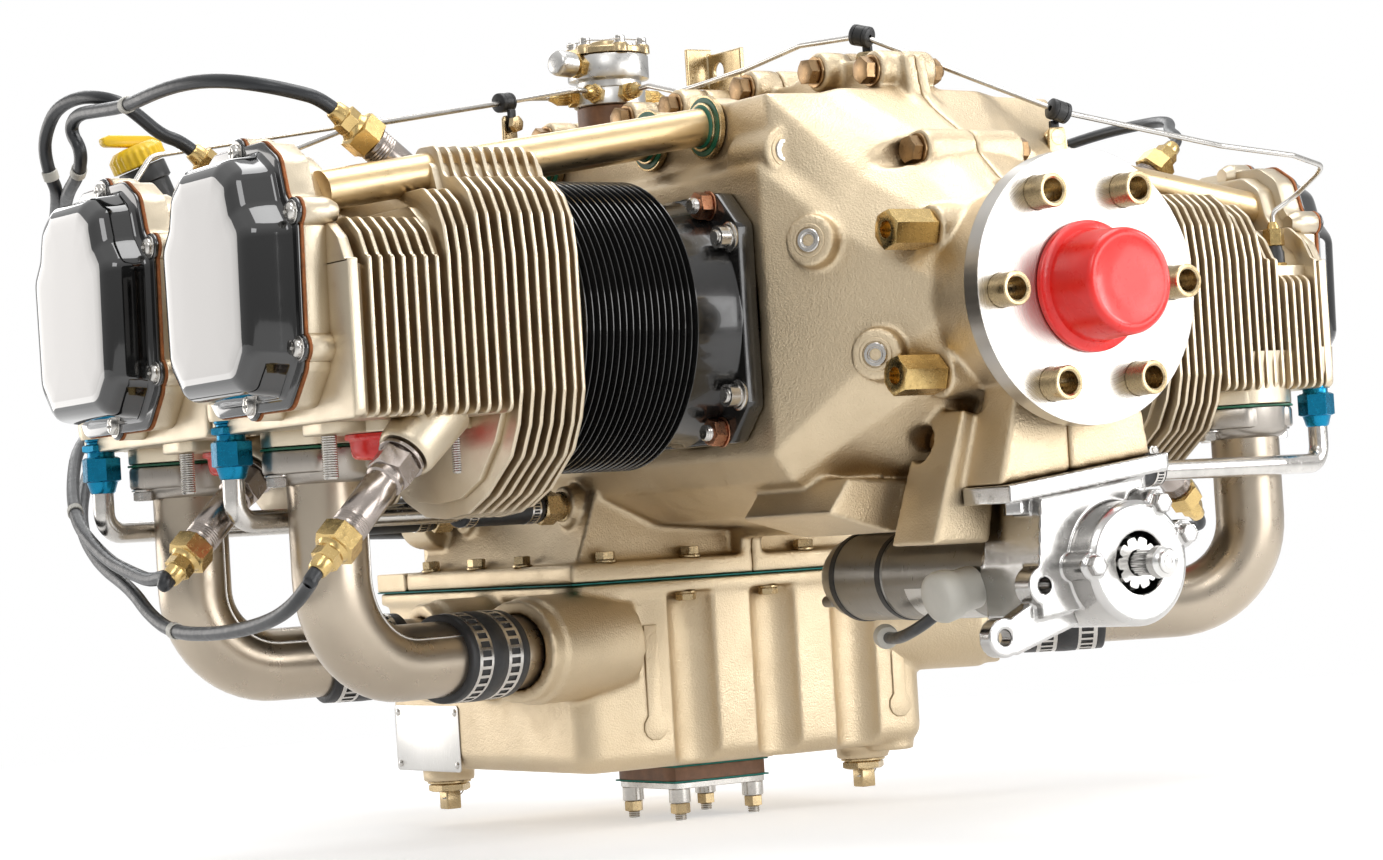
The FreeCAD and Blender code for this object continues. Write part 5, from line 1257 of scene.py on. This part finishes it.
# cylinder, plug, route, where it leaves its magneto, and the points of the route that carry a band
LEADS = [(1, PLUG_TOP, [(-370, 214, 131), (-384, 221, 135), (-396, 240, 140), (-404, 266, 143), (-408, 302, 143),
    (-406, 352, 141), (-405, 392, 144), (-403, 430, 147), (-402, 443, 139), (-400, 432, 126), (-396, 446, 114),
    (-390, 484, 104), (-350, 580, 92), (-260, 660, 92), (-140, 705, 80)], (-6, 18), (5, 10)),
    (3, PLUG_TOP, [(-366, 393, 130), (-380, 394, 142), (-390, 394, 149), (-398, 406, 154), (-402, 430, 157),
    (-404, 456, 154), (-404, 472, 144), (-402, 483, 133), (-398, 486, 118), (-390, 492, 106), (-352, 600, 84),
    (-260, 680, 76), (-140, 712, 66)], (-18, 8), (8, 10)), (1, PLUG_LOW,
    [(-413, 138, -134), (-414, 164, -149), (-412, 205, -157), (-410, 262, -161), (-408, 322, -160),
    (-405, 360, -150), (-398, 400, -134), (-388, 470, -118), (-370, 540, -90), (-310, 640, -36), (-150, 706, 4)],
    (-4, -20), (4,)),
    (3, PLUG_LOW, [(-412, 318, -127), (-410, 345, -130), (-404, 380, -126), (-396, 440, -116), (-384, 520, -86),
    (-320, 640, -22), (-150, 712, 20)], (-16, -8), (4,)), (2, PLUG_TOP,
    [(372, 352, 136), (392, 372, 146), (404, 410, 150), (400, 470, 148), (382, 550, 134), (340, 620, 112),
    (250, 670, 100), (140, 706, 80)], (6, 18), (5,)), (4, PLUG_TOP,
    [(368, 536, 136), (384, 560, 140), (372, 620, 122), (300, 672, 98), (140, 712, 70)], (18, 8), (4,)),
    (2, PLUG_LOW, [(416, 404, -138), (410, 480, -138), (396, 560, -96), (340, 640, -40), (160, 712, 6)], (16, -8),
    (4,)), (4, PLUG_LOW, [(418, 590, -132), (380, 650, -100), (300, 690, -50), (160, 706, -4)], (4, -20), (3,))]
lead_bm = fresh()
band_bm = fresh()
tower_bm = fresh()
for n, plug, route, (dx, dz), marks in LEADS:
    a, b = Vector(plug[0]), Vector(plug[1])
    d = (b - a).normalized()
    hub = Vector((HUB_X[n] + dx, MAG_Y, MAG_Z + dz))
    start = [at(n, *(b + d * t)) for t in (20, 33)]
    line = flowing(start + [Vector(p) for p in route] + [hub + S * 52, hub + S * 34, hub + S * 18], 3, 12)
    sweep(lead_bm, line, LEAD_R, 16)
    total = len(line)
    for mark in marks:
        spot = Vector(route[mark])
        k = min(range(1, total - 1), key=lambda q: (line[q] - spot).length)
        way = (line[k + 1] - line[k - 1]).normalized()
        lathe(band_bm, line[k], way, [(-3, 4.1), (-3, 4.5), (-2.7, 4.8), (2.7, 4.8), (3, 4.5), (3, 4.1)], 24,
            loop=True)
    lathe(tower_bm, hub, S, [(-0.5, 8.6), (10, 8), (11, 7), (24, 6.6), (25, 5)], 28)
piece("leads", lead_bm, "lead", "ignition_leads", sharp=60)
piece("lead_bands", band_bm, "white", "ignition_leads")
piece("lead_towers", tower_bm, "plastic", "ignition_leads")


# ---- studio
FLOOR_Z = cad_box[0][2] - 0.004


def stage_plane(name, size, centre):
    bm = fresh()
    bmesh.ops.create_grid(bm, x_segments=2, y_segments=2, size=size / 2)
    me = bpy.data.meshes.new(name)
    bm.to_mesh(me)
    bm.free()
    o = bpy.data.objects.new(name, me)
    o.location = centre
    scene.collection.objects.link(o)
    return o


def maths(nt, operation, a, b=0.0):
    m = node(nt, "Math")
    m.operation = operation
    for socket, value in zip(m.inputs, (a, b)):
        if isinstance(value, float):
            socket.default_value = value
        else:
            nt.links.new(value, socket)
    return m.outputs[0]


# The floor is lit near the engine, and fades into the white backdrop a little further out.
floor = stage_plane("floor", 40, (0, 0, FLOOR_Z))
fm, fnt, fb = new_material("floor_pale")
for name, value in (("Base Color", (0.84, 0.84, 0.84, 1)), ("Roughness", 0.9), ("Specular IOR Level", 0.0),
        ("Emission Color", (1, 1, 1, 1))):
    fb.inputs[name].default_value = value
lp = node(fnt, "LightPath")
seen = maths(fnt, "MAXIMUM", maths(fnt, "MAXIMUM", lp.outputs["Is Camera Ray"], lp.outputs["Is Glossy Ray"]),
    lp.outputs["Is Transmission Ray"])
fnt.links.new(maths(fnt, "MULTIPLY", seen, 0.42), fb.inputs["Emission Strength"])
length = node(fnt, "VectorMath", Vector=node(fnt, "TexCoord").outputs["Object"])
length.operation = "LENGTH"
far = ranged(fnt, length.outputs["Value"], 0, 1, 0.75, 1.7)
glow = node(fnt, "Emission", Color=(1, 1, 1, 1), Strength=seen)
mix = node(fnt, "MixShader")
for k, source in enumerate((far, fb.outputs["BSDF"], glow.outputs["Emission"])):
    fnt.links.new(source, mix.inputs[k])
fnt.links.new(mix.outputs[0], fnt.nodes["Material Output"].inputs["Surface"])
floor.data.materials.append(fm)

world = bpy.data.worlds.new("studio")
scene.world = world
world.use_nodes = True
wnt = world.node_tree
wnt.nodes.clear()
lp = node(wnt, "LightPath")
sep = node(wnt, "SeparateXYZ", Vector=node(wnt, "TexCoord").outputs["Generated"])
# reflections find a bright ceiling and a softer horizon; the camera sees plain white
ceiling = ranged(wnt, sep.outputs["Z"], 0.34, 1.0, -0.1, 0.75)
plain = maths(wnt, "MAXIMUM", lp.outputs["Is Camera Ray"], lp.outputs["Is Transmission Ray"])
glossy = maths(wnt, "MULTIPLY", lp.outputs["Is Glossy Ray"], ceiling)
lit = maths(wnt, "MAXIMUM", maths(wnt, "MAXIMUM", plain, glossy), 0.40)
backdrop = node(wnt, "Background", Color=(1, 1, 1, 1), Strength=lit)
node(wnt, "OutputWorld", Surface=backdrop.outputs["Background"])


def lamp(name, place, aim, size, power, tint=(1, 1, 1)):
    data = bpy.data.lights.new(name, "AREA")
    data.shape = "RECTANGLE"
    data.size, data.size_y = size
    data.energy = power
    data.color = tint
    o = bpy.data.objects.new(name, data)
    o.location = place
    d = Vector(aim) - Vector(place)
    o.rotation_mode = "QUATERNION"
    o.rotation_quaternion = d.to_track_quat("-Z", "Y")
    scene.collection.objects.link(o)


lamp("key", (-1.7, -1.7, 1.7), (0, 0.3, 0), (1.2, 1.0), 15)
lamp("front", (0.95, -2.25, 0.30), (0, 0.1, 0), (1.7, 1.3), 32)
lamp("top", (0.3, 0.2, 1.9), (0, 0.3, 0), (1.6, 1.2), 26)
lamp("rim", (1.9, -0.9, 0.7), (0.1, 0.2, 0), (0.7, 1.3), 22)
lamp("card", (-1.36, 2.21, 0.16), (-0.42, 0.23, 0.03), (1.5, 1.15), 15, (1.0, 0.965, 0.93))
lamp("back", (0.4, 2.3, 1.0), (0, 0.4, 0), (1.5, 1.0), 12)

# ---- end
bpy.context.view_layer.update()
